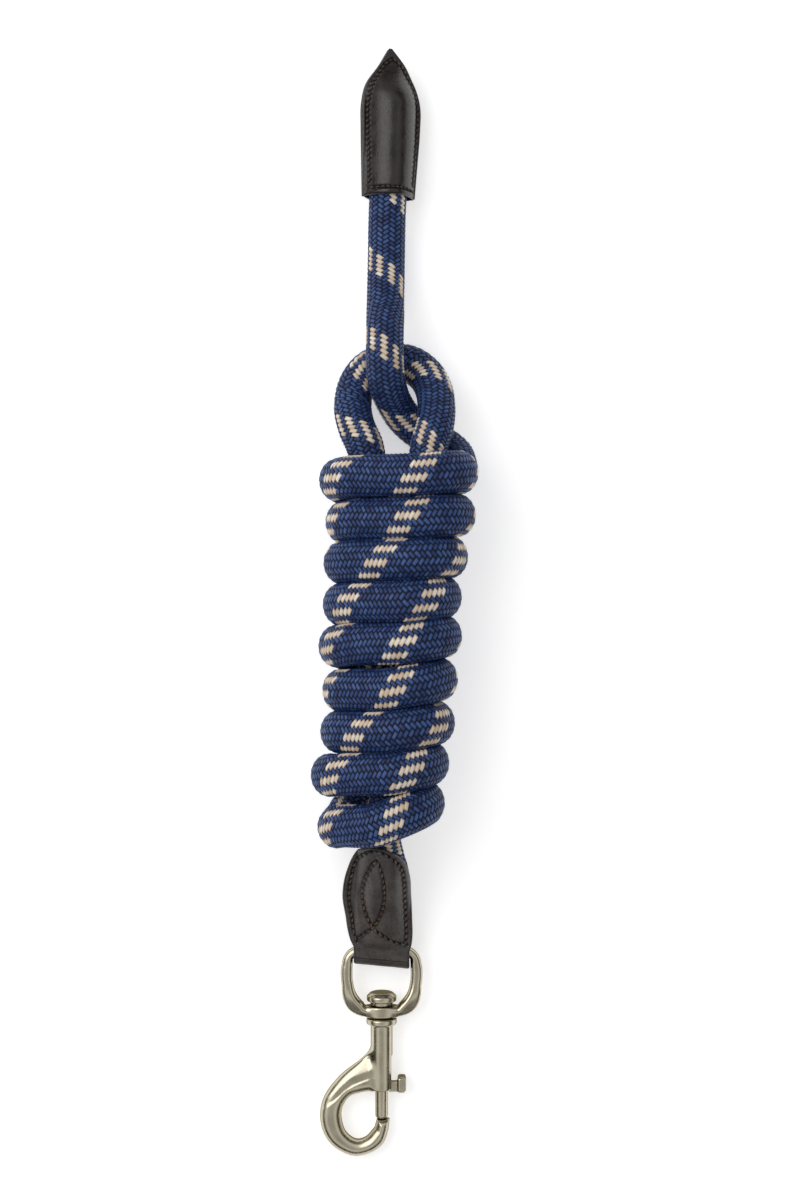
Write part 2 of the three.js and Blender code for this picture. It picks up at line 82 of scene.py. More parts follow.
LOOP_ROUTE = [
    (-2.6, 69.0, 24), (-6.4, 78, 20.5), (-8.2, 88, 15.5), (-6.0, 98.5, 11.0), (-0.5, 105.3, 8.8),
    (7.5, 108, 8.6), (17, 107.3, 8.6), (24.1, 102.2, 10.8), (27.9, 95, 15.8), (29.0, 86, 22.5),
    (28, 77, 28), (25.6, 69, 30.4),
]
FIRST_TURN_ROUTE = [(-5.2, -80.5, 21.0), (-8.8, -87.8, 16.4), (-12.6, -94.0, 13.8), (-15.6, -97.8, 17.6)]
LAST_TURN_ROUTE = [(39.6, 58.0, 23.0), (38.9, 62.4, 16.4)]
TAIL_ROUTE = [
    (36.3, 67.4, 11.2), (30.6, 72.2, 8.9), (21.5, 77.0, 8.8), (14.4, 83.2, 11.2), (9.6, 90.5, 16.3),
    (7.0, 98.2, 23.4), (6.2, 107, 26.8), (6.2, 117, 25.2), (6.4, 130, 17.8), (6.6, 144, 11.4),
    (6.8, 157, 9.2), (7.0, 169, 10.3), (7.5, 182, 12.4), (8.2, 203, 12.4), (9.0, 223.9, 12.4),
]
CROSSING_POINTS = 4

# Where the middle of a fleck crosses the top of the rope, from the chape end to the cap.
FLECKS = [
    (7.3, -102.0), (26.6, 66.8), (26.3, 99.5), (-3.5, 102.0), (-6.8, 75.2), (8.1, -93.2), (14.4, -73.6),
    (-4.0, -56.2), (9.9, -36.6), (13.0, -15.7), (21.8, 1.6), (4.3, 18.8), (15.6, 35.9), (19.0, 54.2),
    (6.2, 109.2), (6.6, 143.6),
]

# Braid: 18 strands each way, each passing over two and under two.
STRANDS = 18
LEAD = 37.6
FLECK_STRANDS = 5
TWIST_HOLD = 12.0
SMOOTHING = 3.0
OUTER_SHARE = 0.7
FRONT_SHARE = 0.3
CELL_STEPS = 3
RISE = 0.34
CROWN = 0.5

# Snap, in its own frame: +Y runs along the swivel axis to the eye bar, whose centre is the origin.
SNAP_TILT = math.radians(2.45)
EYE_INNER_HALF = 12.95
EYE_ARM = 5.3
EYE_BAR_THICK = 5.0
BOSS_TOP = -24.1
BOSS_BOTTOM = -29.4
BOSS_R = 7.0
BOSS_THICK = 10.5
RIVET_SHANK_R = 2.8
COLLAR_R = 6.8
COLLAR_TOP = -29.7
COLLAR_BOTTOM = -32.6
BARREL_R = 4.9
BARREL_END = -62.4
BORE_R = 3.3
HOOK_THICK = 8.8
HOOK_SEAT = -75.5
MOUTH_LEFT = -3.4
BOLT_R = 2.85
BOLT_TIP = -75.2
BOLT_TOP = -53.0
STEM_TOP = -58.6
STEM_BOTTOM = -62.4
STEM_THICK = 3.0
KNOB_INNER = 7.0
KNOB_OUTER = 11.0
KNOB_TOP = -56.1
KNOB_BOTTOM = -63.4
KNOB_THICK = 8.0
METAL_STEP = 0.3
SPRING_R = 2.4
SPRING_WIRE_R = 0.3
SPRING_COILS = 7
SPRING_STEPS = 32
SPRING_SIDES = 12
SPRING_BOTTOM = -52.4
SPRING_TOP = -36.6

# Leather and thread. The chape's frame climbs from the eye bar; the cap's runs from its hem to its point.
LEATHER = 2.0
SEAM_GAP = 0.4
THREAD_R = 0.37
LEATHER_EDGE = 0.9
LEAF_STEP = 0.3
STITCH_STEPS = 11
STITCH_SIDES = 10
CHAPE_LENGTH = 56.4
LOWER_LEAF_SHARE = 0.93
LOWER_WAIST = 5.0
FOLD_R = 4.5
FOLD_BLEND = 11.5
CHAPE_COVER = 12.5
CHAPE_SEAM_IN = 2.9
CHAPE_SKEW = 0.11
CHAPE_DROP = 1.0
CHAPE_STITCH = 2.85
ROPE_CUT = 12.0
ROPE_FULL = 44.0
ROPE_FLAT = 0.42
CHAPE_INNER_SEAM = [
    (-10.6, 8.6), (-7.2, 12.4), (-3.8, 16.0), (-0.9, 21.4), (0.9, 27.6), (1.5, 35.0), (0.6, 43.0), (-2.0, 50.4),
    (-5.6, 44.0), (-8.0, 37.0), (-8.5, 30.4), (-7.0, 22.6), (-3.8, 16.0), (0.2, 12.6), (4.4, 9.9), (8.2, 8.1), (11.2, 7.4),
]
CAP_ROLL = math.radians(16)
CAP_YAW = math.radians(-1.5)
CAP_HEM = (7.3, 181.0, 12.4)
CAP_LENGTH = 66.4
CAP_APEX = 61.8
CAP_COVER = 11.8
CAP_BULGE = 9.2
CAP_SEAM_IN = 2.2
CAP_HEM_IN = 3.0
CAP_STITCH = 2.4
HEM_STITCH = 2.0
ROPE_IN_CAP = 42.0

# The studio's dome: (height of the direction, brightness), dark at the horizon, dimmer overhead.
DOME = [(0.0, 0.01), (0.3, 0.03), (0.48, 0.3), (0.62, 0.75), (0.8, 0.72), (0.92, 0.44), (1.0, 0.38)]
DOME_STRENGTH = 1.0
FLOOR_GLOW = 0.52

# Camera: straight down over the object, as far away as the photograph's perspective says.
CAMERA_AT = (12.87, 1.35, 900.0)
VIEW_HEIGHT = 543.8


def smoothstep(x, low, high):
    t = np.clip((np.asarray(x, float) - low) / (high - low), 0, 1)
    return t * t * (3 - 2 * t)


def unit(v):
    return v / np.linalg.norm(v, axis=-1, keepdims=True)


# ---- Camera, floor and light ----
def make_camera():
    data = bpy.data.cameras.new("camera")
    data.sensor_fit = "VERTICAL"
    data.sensor_height = 24
    data.lens = data.sensor_height * CAMERA_AT[2] / VIEW_HEIGHT
    data.clip_start = 0.01
    camera = bpy.data.objects.new("camera", data)
    camera.location = Vector(CAMERA_AT) * MM
    bpy.context.scene.collection.objects.link(camera)
    bpy.context.scene.camera = camera


def area_light(name, location, size, power, colour=(1, 1, 1)):
    data = bpy.data.lights.new(name, "AREA")
    data.shape = "RECTANGLE"
    data.size, data.size_y = size
    data.energy = power
    data.color = colour
    light = bpy.data.objects.new(name, data)
    light.location = location
    light.rotation_euler = (-Vector(location)).to_track_quat("-Z", "Y").to_euler()
    bpy.context.scene.collection.objects.link(light)


def make_studio():
    world = bpy.data.worlds.new("studio")
    world.use_nodes = True
    tree = world.node_tree
    direction = tree.nodes.new("ShaderNodeTexCoord")
    split = tree.nodes.new("ShaderNodeSeparateXYZ")
    height = tree.nodes.new("ShaderNodeValToRGB")
    tree.links.new(direction.outputs["Generated"], split.inputs[0])
    tree.links.new(split.outputs["Z"], height.inputs[0])
    tree.links.new(height.outputs["Color"], tree.nodes["Background"].inputs["Color"])
    stops = height.color_ramp.elements
    while len(stops) < len(DOME):
        stops.new(0.5)
    for stop, (position, brightness) in zip(stops, DOME):
        stop.position = position
        stop.color = (brightness, brightness, brightness, 1)
    tree.nodes["Background"].inputs["Strength"].default_value = DOME_STRENGTH
    bpy.context.scene.world = world
    area_light("key", (-0.85, 0.5, 1.1), (1.3, 1.3), 9)
    bpy.ops.mesh.primitive_plane_add(size=6, location=(0, 0, 0))
    floor = bpy.context.object
    floor.name = "floor"
    material = bpy.data.materials.new("floor")
    material.use_nodes = True
    shader = material.node_tree.nodes["Principled BSDF"]
    shader.inputs["Base Color"].default_value = (0.9, 0.9, 0.9, 1)
    shader.inputs["Roughness"].default_value = 0.9
    shader.inputs["Emission Color"].default_value = (1, 1, 1, 1)
    shader.inputs["Emission Strength"].default_value = FLOOR_GLOW
    floor.data.materials.append(material)
    bpy.context.scene.view_settings.view_transform = "Standard"


# ---- Rope ----
def chape_frame(point):
    x, y, z = point
    cos, sin = math.cos(CHAPE_SLOPE), math.sin(CHAPE_SLOPE)
    return (EYE_BAR[0] + x, EYE_BAR[1] + y * cos - z * sin, EYE_BAR[2] + y * sin + z * cos)


def turn_points(turn, following, first, last):
    """One turn of the hank: over the front from its left end to its right, and back underneath to the next turn."""
    left, right, left_y, right_y = turn
    lean = math.atan2(RIGHT_STRAND_Z - LEFT_STRAND_Z, right - left)
    end_angle = 0 if last else -math.pi
    steps = POINTS_PER_TURN // 2 if last else POINTS_PER_TURN
    points = []
    for k in range(1 if first else 0, steps + (1 if last else 0)):
        angle = math.pi + (end_angle - math.pi) * k / steps
        on_right = math.cos(angle - lean) > 0
        left_now = left if angle >= 0 else left + (following[0] - left) * -angle / math.pi
        centre = (right, RIGHT_STRAND_Z) if on_right else (left_now, LEFT_STRAND_Z)
        x = centre[0] + TURN_REACH * math.cos(angle)
        z = centre[1] + TURN_REACH * math.sin(angle)
        if angle >= 0:
            y = left_y + (right_y - left_y) * (1 - math.cos(math.pi - angle)) / 2
        else:
            y = right_y + (following[2] - right_y) * (1 - math.cos(angle)) / 2
        points.append((x, y, z))
    return points


def route():
    """Every point of the rope's centreline, from its cut end in the chape to its end in the cap, and its state there:
    0 where it runs free, 1 where it is wound as a turn, 2 where it is squeezed in the core,
    3 where it is pulled thin, 4 where it is pressed flat at its cut end and 5 halfway from there to round."""
    points = [(chape_frame(p), state) for p, state in zip(SNAP_END_ROUTE, (4, 5, 0, 0))]
    middles = [(left_y + right_y) / 2 for _, _, left_y, right_y in TURNS]
    points += [((turn[1], y, RIGHT_STRAND_Z), 2) for turn, y in list(zip(TURNS, middles))[1:]]
    points += [(p, 0) for p in reversed(LOOP_ROUTE)]
    down = list(zip(TURNS, middles))[:0:-1]
    points += [((turn[0], y, LEFT_STRAND_Z), 2) for turn, y in down]
    points += [(p, 2) for p in FIRST_TURN_ROUTE]
    for i, turn in enumerate(TURNS):
        last = i == len(TURNS) - 1
        following = None if last else TURNS[i + 1]
        points += [(p, 1) for p in turn_points(turn, following, i == 0, last)]
    points += [(p, 1) for p in LAST_TURN_ROUTE]
    points += [(p, 3 if 1 <= i <= CROSSING_POINTS else 0) for i, p in enumerate(TAIL_ROUTE)]
    return np.array([p for p, _ in points], float), np.array([s for _, s in points])


def spline(points, values, step):
    """A centripetal Catmull-Rom curve through the points, cut into equal steps, and the values carried along it."""
    ends = np.vstack([2 * points[0] - points[1], points, 2 * points[-1] - points[-2]])
    knots = np.concatenate([[0], np.cumsum(np.linalg.norm(np.diff(ends, axis=0), axis=1) ** 0.5)])
    found, carried = [], []
    for i in range(1, len(ends) - 2):
        p0, p1, p2, p3 = ends[i - 1:i + 3]
        t0, t1, t2, t3 = knots[i - 1:i + 3]
        t = np.linspace(t1, t2, 24, endpoint=False)[:, None]
        a1 = (t1 - t) / (t1 - t0) * p0 + (t - t0) / (t1 - t0) * p1
        a2 = (t2 - t) / (t2 - t1) * p1 + (t - t1) / (t2 - t1) * p2
        a3 = (t3 - t) / (t3 - t2) * p2 + (t - t2) / (t3 - t2) * p3
        b1 = (t2 - t) / (t2 - t0) * a1 + (t - t0) / (t2 - t0) * a2
        b2 = (t3 - t) / (t3 - t1) * a2 + (t - t1) / (t3 - t1) * a3
        found.append((t2 - t) / (t2 - t1) * b1 + (t - t1) / (t2 - t1) * b2)
        share = (t - t1) / (t2 - t1)
        carried.append(values[i - 1] * (1 - share) + values[i] * share)
    line = np.vstack(found + [points[-1:]])
    rows = np.vstack(carried + [values[-1:]])
    return resample(line, rows, even_places(line, step))


def even_places(line, step):
    along = distances(line)
    return np.linspace(0, along[-1], int(round(along[-1] / step)) + 1)


def distances(line):
    """Distance of each point along a line."""
    return np.concatenate([[0], np.cumsum(np.linalg.norm(np.diff(line, axis=0), axis=1))])


def resample(line, rows, at):
    """The line and the values along it, at new distances from its start."""
    along = distances(line)
    moved = np.stack([np.interp(at, along, line[:, k]) for k in range(3)], 1)
    return moved, np.stack([np.interp(at, along, rows[:, k]) for k in range(rows.shape[1])], 1)


def smoothed(values, reach):
    """Values eased along a line, with their two ends where they were."""
    weights = np.exp(-np.linspace(-2, 2, 2 * reach + 1) ** 2)
    weights /= weights.sum()
    before = 2 * values[0] - values[reach:0:-1]
    after = 2 * values[-1] - values[-2:-reach - 2:-1]
    padded = np.vstack([before, values, after])
    return np.stack([np.convolve(padded[:, k], weights, "valid") for k in range(values.shape[1])], 1)


def braid_rows(line, sizes, step):
    """The line cut at the braid's rows, spaced so that the side that shows in a bend isn't stretched or bunched up."""
    even = np.linalg.norm(line[1] - line[0])
    reach = int(2 * SMOOTHING / even)
    tangents = smoothed(unit(np.gradient(line, axis=0)), reach)
    bend = np.gradient(tangents, axis=0) / even
    wound = sizes[:, 2]
    shown = wound * (np.linalg.norm(bend, axis=1) + FRONT_SHARE * bend[:, 2]) - (1 - wound) * bend[:, 2]
    stretch = 1 + OUTER_SHARE * ROPE_D / 2 * smoothed(shown[:, None], reach)[:, 0]
    braid = np.concatenate([[0], np.cumsum((stretch[1:] + stretch[:-1]) / 2 * even)])
    count = int(round(braid[-1] / step))
    at = np.interp(np.linspace(0, braid[-1], count + 1), braid, distances(line))
    return resample(line, sizes, at)


def transport(tangents):
    """Normals carried along a line without twist."""
    normals = np.zeros_like(tangents)
    start = np.array([0, 0, 1.0])
    normals[0] = unit(start - tangents[0] * (start @ tangents[0]))
    for i in range(1, len(tangents)):
        carried = normals[i - 1] - tangents[i] * (normals[i - 1] @ tangents[i])
        normals[i] = carried / np.linalg.norm(carried)
    return normals


def braid_height(a, b):
    """Height of the braid at strand places a and b: the higher of the two strands that cross there."""
    heights = []
    for mine, other, flip in ((a, b, 0), (b, a, 2)):
        index = np.round(mine)
        across = mine - index
        phase = (index + other + flip - 0.5 + 2) % 4 - 2
        round_back = 1 - np.sqrt(np.clip(1 - (1.9 * across) ** 2, 0, 1))
        heights.append(RISE * np.cos(math.pi * phase / 2) - CROWN * round_back)
    return np.maximum(*heights)


def rope_twist(line, up_angle, travel):
    """The slow twist of the rope that brings each fleck to the top where FLECKS says."""
    middle = (FLECK_STRANDS + 1) / 2 / STRANDS
    places, twists = [], []
    for x, y in FLECKS:
        flat = np.hypot(line[:, 0] - x, line[:, 1] - y)
        near = np.flatnonzero(flat < flat.min() + 4)
        top = near[line[near, 2] > line[near, 2].max() - 3]
        at = top[flat[top].argmin()]
        wanted = up_angle[at] + 2 * math.pi * (middle + travel[at])
        if twists:
            wanted += 2 * math.pi * round((twists[-1] - wanted) / (2 * math.pi))
        places.append(at)
        twists.append(wanted)
    order = np.argsort(places)
    print("twists", [(places[k], round(math.degrees(twists[k]))) for k in order])
    along = distances(line)
    at, held = [], []
    for k in order:
        for shift in (-TWIST_HOLD, TWIST_HOLD):
            at.append(along[places[k]] + shift)
            held.append(twists[k])
    at = np.maximum.accumulate(np.array(at) + 0.001 * np.arange(len(at)))
    return np.interp(along, at, held)


def make_rope():
    points, states = route()
    row_step = LEAD / (2 * STRANDS * CELL_STEPS)
    radii = np.array([
        [ROPE_D / 2, ROPE_D / 2, 0], [WRAP_AXIAL / 2, WRAP_RADIAL / 2, 1], [CORE_D / 2, CORE_D / 2, 0],
        [CROSSING_D / 2, CROSSING_D / 2, 0], [CUT_END[0] / 2, CUT_END[1] / 2, 0],
        [HALFWAY_FLAT[0] / 2, HALFWAY_FLAT[1] / 2, 0],
    ])
    line, sizes = spline(points, radii[states], row_step)
    line = smoothed(line, int(SMOOTHING / row_step))
    line, sizes = braid_rows(line, sizes, row_step)
    rows = len(line)
    tangents = unit(np.gradient(line, axis=0))
    carried = transport(tangents)
    side = np.cross(tangents, carried)
    # The section is measured along the hank's axis and square to it.
    axial = np.array([0, 1.0, 0]) - tangents * tangents[:, 1:2]
    weak = np.linalg.norm(axial, axis=1) < 0.35
    axial[weak] = carried[weak]
    axial = unit(axial)
    radial = np.cross(tangents, axial)
    around = STRANDS * CELL_STEPS
    row = np.arange(rows)[:, None]
    spoke = 2 * np.arange(around)[None, :] + (row & 1)
    turn = -(spoke / CELL_STEPS - 1) / (2 * STRANDS)
    travel = row / (2 * STRANDS * CELL_STEPS)
    a = STRANDS * (-turn - travel)
    b = STRANDS * (-turn + travel)
    height = braid_height(a, b) - RISE
    up_angle = np.arctan2(side[:, 2], carried[:, 2])
    angle = 2 * math.pi * turn + rope_twist(line, up_angle, travel[:, 0])[:, None]
    wide = sizes[:, 0:1] + height
    deep = sizes[:, 1:2] + height
    cos_c, sin_c = np.cos(angle), np.sin(angle)
    offset = cos_c[:, :, None] * carried[:, None, :] + sin_c[:, :, None] * side[:, None, :]
    on_axial = (offset * axial[:, None, :]).sum(2)
    on_radial = (offset * radial[:, None, :]).sum(2)
    placed = (on_axial * wide)[:, :, None] * axial[:, None, :] + (on_radial * deep)[:, :, None] * radial[:, None, :]
    vertices = (line[:, None, :] + placed).reshape(-1, 3)

    inner = np.arange(1, rows - 1)[:, None]
    h = np.arange(around)[None, :]
    odd = inner & 1
    here = inner * around + h
    right = inner * around + (h + 1) % around
    below = (inner - 1) * around + (h + odd) % around
    above = (inner + 1) * around + (h + odd) % around
    faces = np.stack([here, above, right, below], 2).reshape(-1, 4)
    # Strand places at the middle of each face, and of each corner relative to the strand on top.
    p_here = ((2 * h + odd) - inner) // 2
    q_here = ((2 * h + odd) + inner) // 2
    mid_a = (p_here + 0.5) / CELL_STEPS - 0.5
    mid_b = (q_here + 0.5) / CELL_STEPS - 0.5
    i, j = np.round(mid_a).astype(int), np.round(mid_b).astype(int)
    first_over = ((i + j) % 4) < 2
    carrier = np.where(first_over, i, j) % STRANDS
    fleck = first_over & (carrier < FLECK_STRANDS)
    half = 0.5 / CELL_STEPS
    corner_a = mid_a[:, :, None] + np.array([-half, -half, half, half])
    corner_b = mid_b[:, :, None] + np.array([-half, half, half, -half])
    index = np.where(first_over, i, j)[:, :, None]
    across = np.where(first_over[:, :, None], corner_a, corner_b) - index
    other = np.where(first_over[:, :, None], corner_b, corner_a)
    phase = (index + other + np.where(first_over, 0, 2)[:, :, None] - 0.5 + 2) % 4 - 2
    first_cross = np.where(first_over, j, i) - ((np.where(first_over, i + j, i + j + 2)) % 4)
    float_id = (carrier * 7919 + first_cross * 104729 + np.where(first_over, 0, 31)) % 100003
    tone = np.random.default_rng(4).random(100003)[float_id]

    mesh = bpy.data.meshes.new("rope_braid")
    mesh.vertices.add(len(vertices))
    mesh.vertices.foreach_set("co", (vertices * MM).ravel())
    mesh.loops.add(faces.size)
    mesh.loops.foreach_set("vertex_index", faces.ravel().astype(np.int32))
    mesh.polygons.add(len(faces))
    mesh.polygons.foreach_set("loop_start", np.arange(0, faces.size, 4, dtype=np.int32))
    mesh.update(calc_edges=True)
    mesh.shade_smooth()
    colour = mesh.attributes.new("strand", "FLOAT_COLOR", "CORNER")
    values = np.zeros((len(faces), 4, 4))
    values[:, :, 0] = fleck.reshape(-1, 1)
    values[:, :, 1] = across.reshape(-1, 4) + 0.5
    values[:, :, 2] = phase.reshape(-1, 4) / 2 + 0.5
    values[:, :, 3] = tone.reshape(-1, 1)
    colour.data.foreach_set("color", values.ravel())
    rope = bpy.data.objects.new("rope_braid", mesh)
    bpy.context.scene.collection.objects.link(rope)
    mesh.materials.append(rope_material())
    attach(rope, ROPE_BODY)
    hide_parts("rope_hank", "rope_loop", "rope_tail", "rope_snap_end")
    bends = np.linalg.norm(np.diff(tangents, axis=0), axis=1) / np.linalg.norm(np.diff(line, axis=0), axis=1)
    print('tightest', 1 / bends.max(), 'at', line[bends.argmax()])
    return rope


class Nodes:
    """A short way to write a material's nodes."""

    def __init__(self, name):
        self.material = bpy.data.materials.new(name)
        self.material.use_nodes = True
        self.tree = self.material.node_tree
        self.shader = self.tree.nodes["Principled BSDF"]

    def add(self, kind, inputs=None, **settings):
        node = self.tree.nodes.new(kind)
        for key, value in settings.items():
            setattr(node, key, value)
        for key, value in (inputs or {}).items():
            self.feed(node.inputs[key], value)
        return node

    def feed(self, socket, value):
        if isinstance(value, bpy.types.NodeSocket):
            self.tree.links.new(value, socket)
        else:
            socket.default_value = value

    def maths(self, operation, *values, clamp=False):
        node = self.add("ShaderNodeMath", operation=operation, use_clamp=clamp)
        for socket, value in zip(node.inputs, values):
            self.feed(socket, value)
        return node.outputs[0]

    def between(self, value, low, high, out_low=0.0, out_high=1.0, smooth=True):
        node = self.add("ShaderNodeMapRange", interpolation_type="SMOOTHSTEP" if smooth else "LINEAR")
        for key, item in zip(("Value", "From Min", "From Max", "To Min", "To Max"), (value, low, high, out_low, out_high)):
            self.feed(node.inputs[key], item)
        return node.outputs[0]

    def mix(self, factor, first, second, blend="MIX"):
        node = self.add("ShaderNodeMix", data_type="RGBA", blend_type=blend)
        for key, item in ((0, factor), (6, first), (7, second)):
            self.feed(node.inputs[key], item)
        return node.outputs[2]


def rope_material():
    n = Nodes("rope_braid")
    strand = n.add("ShaderNodeAttribute", attribute_name="strand")
    split = n.add("ShaderNodeSeparateColor", {"Color": strand.outputs["Color"]})
    fleck, across, along = (split.outputs[k] for k in ("Red", "Green", "Blue"))
    tone = strand.outputs["Alpha"]
    edge = n.maths("ABSOLUTE", n.maths("SUBTRACT", across, 0.5))
    end = n.maths("ABSOLUTE", n.maths("SUBTRACT", along, 0.5))
    gap = n.maths("MAXIMUM", n.between(edge, 0.22, 0.48), n.between(end, 0.26, 0.46))
    blue = n.mix(tone, (0.013, 0.033, 0.13, 1), (0.052, 0.112, 0.32, 1))
    beige = n.mix(tone, (0.70, 0.56, 0.43, 1), (0.96, 0.88, 0.77, 1))
    body = n.mix(fleck, blue, beige)
    # Painted shade: the gaps between floats are painted near-black navy, and a darker beige on flecks, for the shade in
    # the braid's crevices.
    dark = n.mix(fleck, (0.0009, 0.0016, 0.0075, 1), (0.38, 0.25, 0.15, 1))
    shade = n.maths("MULTIPLY", gap, n.between(fleck, 0, 1, 0.95, 0.6))
    base = n.mix(shade, body, dark)
    n.feed(n.shader.inputs["Base Color"], base)
    n.feed(n.shader.inputs["Roughness"], n.between(gap, 0.0, 0.8, 0.36, 0.85))
    n.shader.inputs["Specular IOR Level"].default_value = 0.35
    place = n.add("ShaderNodeCombineXYZ", {"X": n.maths("MULTIPLY", across, 26.0), "Y": n.maths("MULTIPLY", along, 2.0)})
    n.feed(place.inputs["Z"], n.maths("MULTIPLY", tone, 37.0))
    fibre = n.add("ShaderNodeTexNoise", {"Vector": place.outputs[0], "Scale": 1.0, "Detail": 1.0})
    bump = n.add("ShaderNodeBump", {"Height": fibre.outputs[0], "Strength": 0.6, "Distance": 0.00008})
    n.feed(n.shader.inputs["Normal"], bump.outputs[0])
    return n.material


# ---- Shared mesh work ----
def make_piece(name, vertices, quads, material, body, slot, replaced=(), polygons=()):
    """A smooth-shaded piece from vertices in millimetres, that rides on a body and stands for CAD nodes."""
    mesh = bpy.data.meshes.new(name)
    mesh.vertices.add(len(vertices))
    mesh.vertices.foreach_set("co", (np.asarray(vertices) * MM).ravel())
    corners = np.concatenate([np.asarray(quads).ravel(), *[np.asarray(p) for p in polygons]]).astype(np.int32)
    counts = [4] * len(quads) + [len(p) for p in polygons]
    starts = np.concatenate([[0], np.cumsum(counts)[:-1]]).astype(np.int32)
    mesh.loops.add(len(corners))
    mesh.loops.foreach_set("vertex_index", corners)
    mesh.polygons.add(len(counts))
    mesh.polygons.foreach_set("loop_start", starts)
    mesh.update(calc_edges=True)
    mesh.shade_smooth()
    piece = bpy.data.objects.new(name, mesh)
    bpy.context.scene.collection.objects.link(piece)
    mesh.materials.append(material)
    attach(piece, body)
    if slot == "nickel":
        paint_flank_shade(piece)
    if replaced:
        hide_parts(*replaced)
    return piece


def smooth_function(pairs):
    """The same cubic as the CAD draws through given (position, value) pairs."""
    places, values = (np.array(v, float) for v in zip(*pairs))
    secants = np.diff(values) / np.diff(places)
    slopes = np.concatenate([secants[:1], (secants[1:] + secants[:-1]) / 2, secants[-1:]])

    def at(t):
        t = np.clip(t, places[0], places[-1])
        i = np.clip(np.searchsorted(places, t, side="right") - 1, 0, len(places) - 2)
        width = places[i + 1] - places[i]
        p = (t - places[i]) / width
        rise = values[i] * (1 + 2 * p) * (1 - p) ** 2 + values[i + 1] * p * p * (3 - 2 * p)
        return rise + width * (slopes[i] * p * (1 - p) ** 2 - slopes[i + 1] * p * p * (1 - p))

    return at


def curve_through(points, steps=12, closed=False):
    """A Catmull-Rom curve through plane or space points."""
    points = np.array(points, float)
    if closed:
        ends = np.vstack([points[-1:], points, points[:2]])
    else:
        ends = np.vstack([2 * points[0] - points[1], points, 2 * points[-1] - points[-2]])
    t = np.linspace(0, 1, steps, endpoint=False)[:, None]
    found = []
    for i in range(1, len(ends) - 2):
        p0, p1, p2, p3 = ends[i - 1:i + 3]
        bend = (2 * p0 - 5 * p1 + 4 * p2 - p3) * t * t + (3 * p1 - p0 - 3 * p2 + p3) * t ** 3
        found.append(p1 + 0.5 * ((p2 - p0) * t + bend))
    return np.vstack(found if closed else found + [points[-1:]])


def even_steps(line, spacing):
    """Points at even steps along a line, as near to the spacing as fits it exactly."""
    along = np.concatenate([[0], np.cumsum(np.linalg.norm(np.diff(line, axis=0), axis=1))])
    at = np.linspace(0, along[-1], max(2, int(round(along[-1] / spacing)) + 1))
    return np.stack([np.interp(at, along, line[:, k]) for k in range(line.shape[1])], 1)


def nearest(x, y, points):
    """Distance from each place to the nearest of the points."""
    best = np.full(x.shape, 1e9)
    for px, py in points:
        best = np.minimum(best, (x - px) ** 2 + (y - py) ** 2)
    return np.sqrt(best)


# ---- Metal: bodies cut out of a field of distances ----
def surface_of(distance, low, high, step):
    """Vertices and quads of the surface where distance(points) is nought, one vertex to a cell it crosses."""
    axes = [np.arange(low[k], high[k] + step, step) for k in range(3)]
    value = distance(np.stack(np.meshgrid(*axes, indexing="ij"), -1))
    shape = value.shape
    total = np.zeros((value.size, 3))
    count = np.zeros(value.size)
    quads = []
    for axis in range(3):
        b, c = (axis + 1) % 3, (axis + 2) % 3
        inner = [slice(1, -1)] * 3
        start, end = list(inner), list(inner)
        start[axis], end[axis] = slice(0, -1), slice(1, None)
        first, second = value[tuple(start)], value[tuple(end)]
        index = np.argwhere((first < 0) != (second < 0))
        if not len(index):
            continue
        share = first[tuple(index.T)] / (first[tuple(index.T)] - second[tuple(index.T)])
        index[:, b] += 1
        index[:, c] += 1
        point = index.astype(float)
        point[:, axis] += share
        cells = []
        for shift_b, shift_c in ((0, 0), (1, 0), (1, 1), (0, 1)):
            cell = index.copy()
            cell[:, b] -= shift_b
            cell[:, c] -= shift_c
            flat = np.ravel_multi_index(cell.T, shape)
            count += np.bincount(flat, minlength=value.size)
            for k in range(3):
                total[:, k] += np.bincount(flat, point[:, k], value.size)
            cells.append(flat)
        found = np.stack(cells, 1)
        inward = value[tuple((index).T)] >= 0
        found[inward] = found[inward][:, ::-1]
        quads.append(found)
    used = np.flatnonzero(count)
    vertices = np.array(low) + step * total[used] / count[used][:, None]
    renumber = np.zeros(value.size, np.int64)
    renumber[used] = np.arange(len(used))
    for _ in range(3):
        here = distance(vertices)
        slope = np.stack([
            (distance(vertices + offset) - distance(vertices - offset)) / 0.08 for offset in np.eye(3) * 0.04
        ], -1)
        steep = np.maximum((slope * slope).sum(-1), 0.25)
        move = slope * (here / steep)[:, None]
        size = np.linalg.norm(move, axis=1, keepdims=True)
        vertices = vertices - move * np.minimum(1, 0.5 * step / np.maximum(size, 1e-9))
    return vertices, renumber[np.concatenate(quads)]


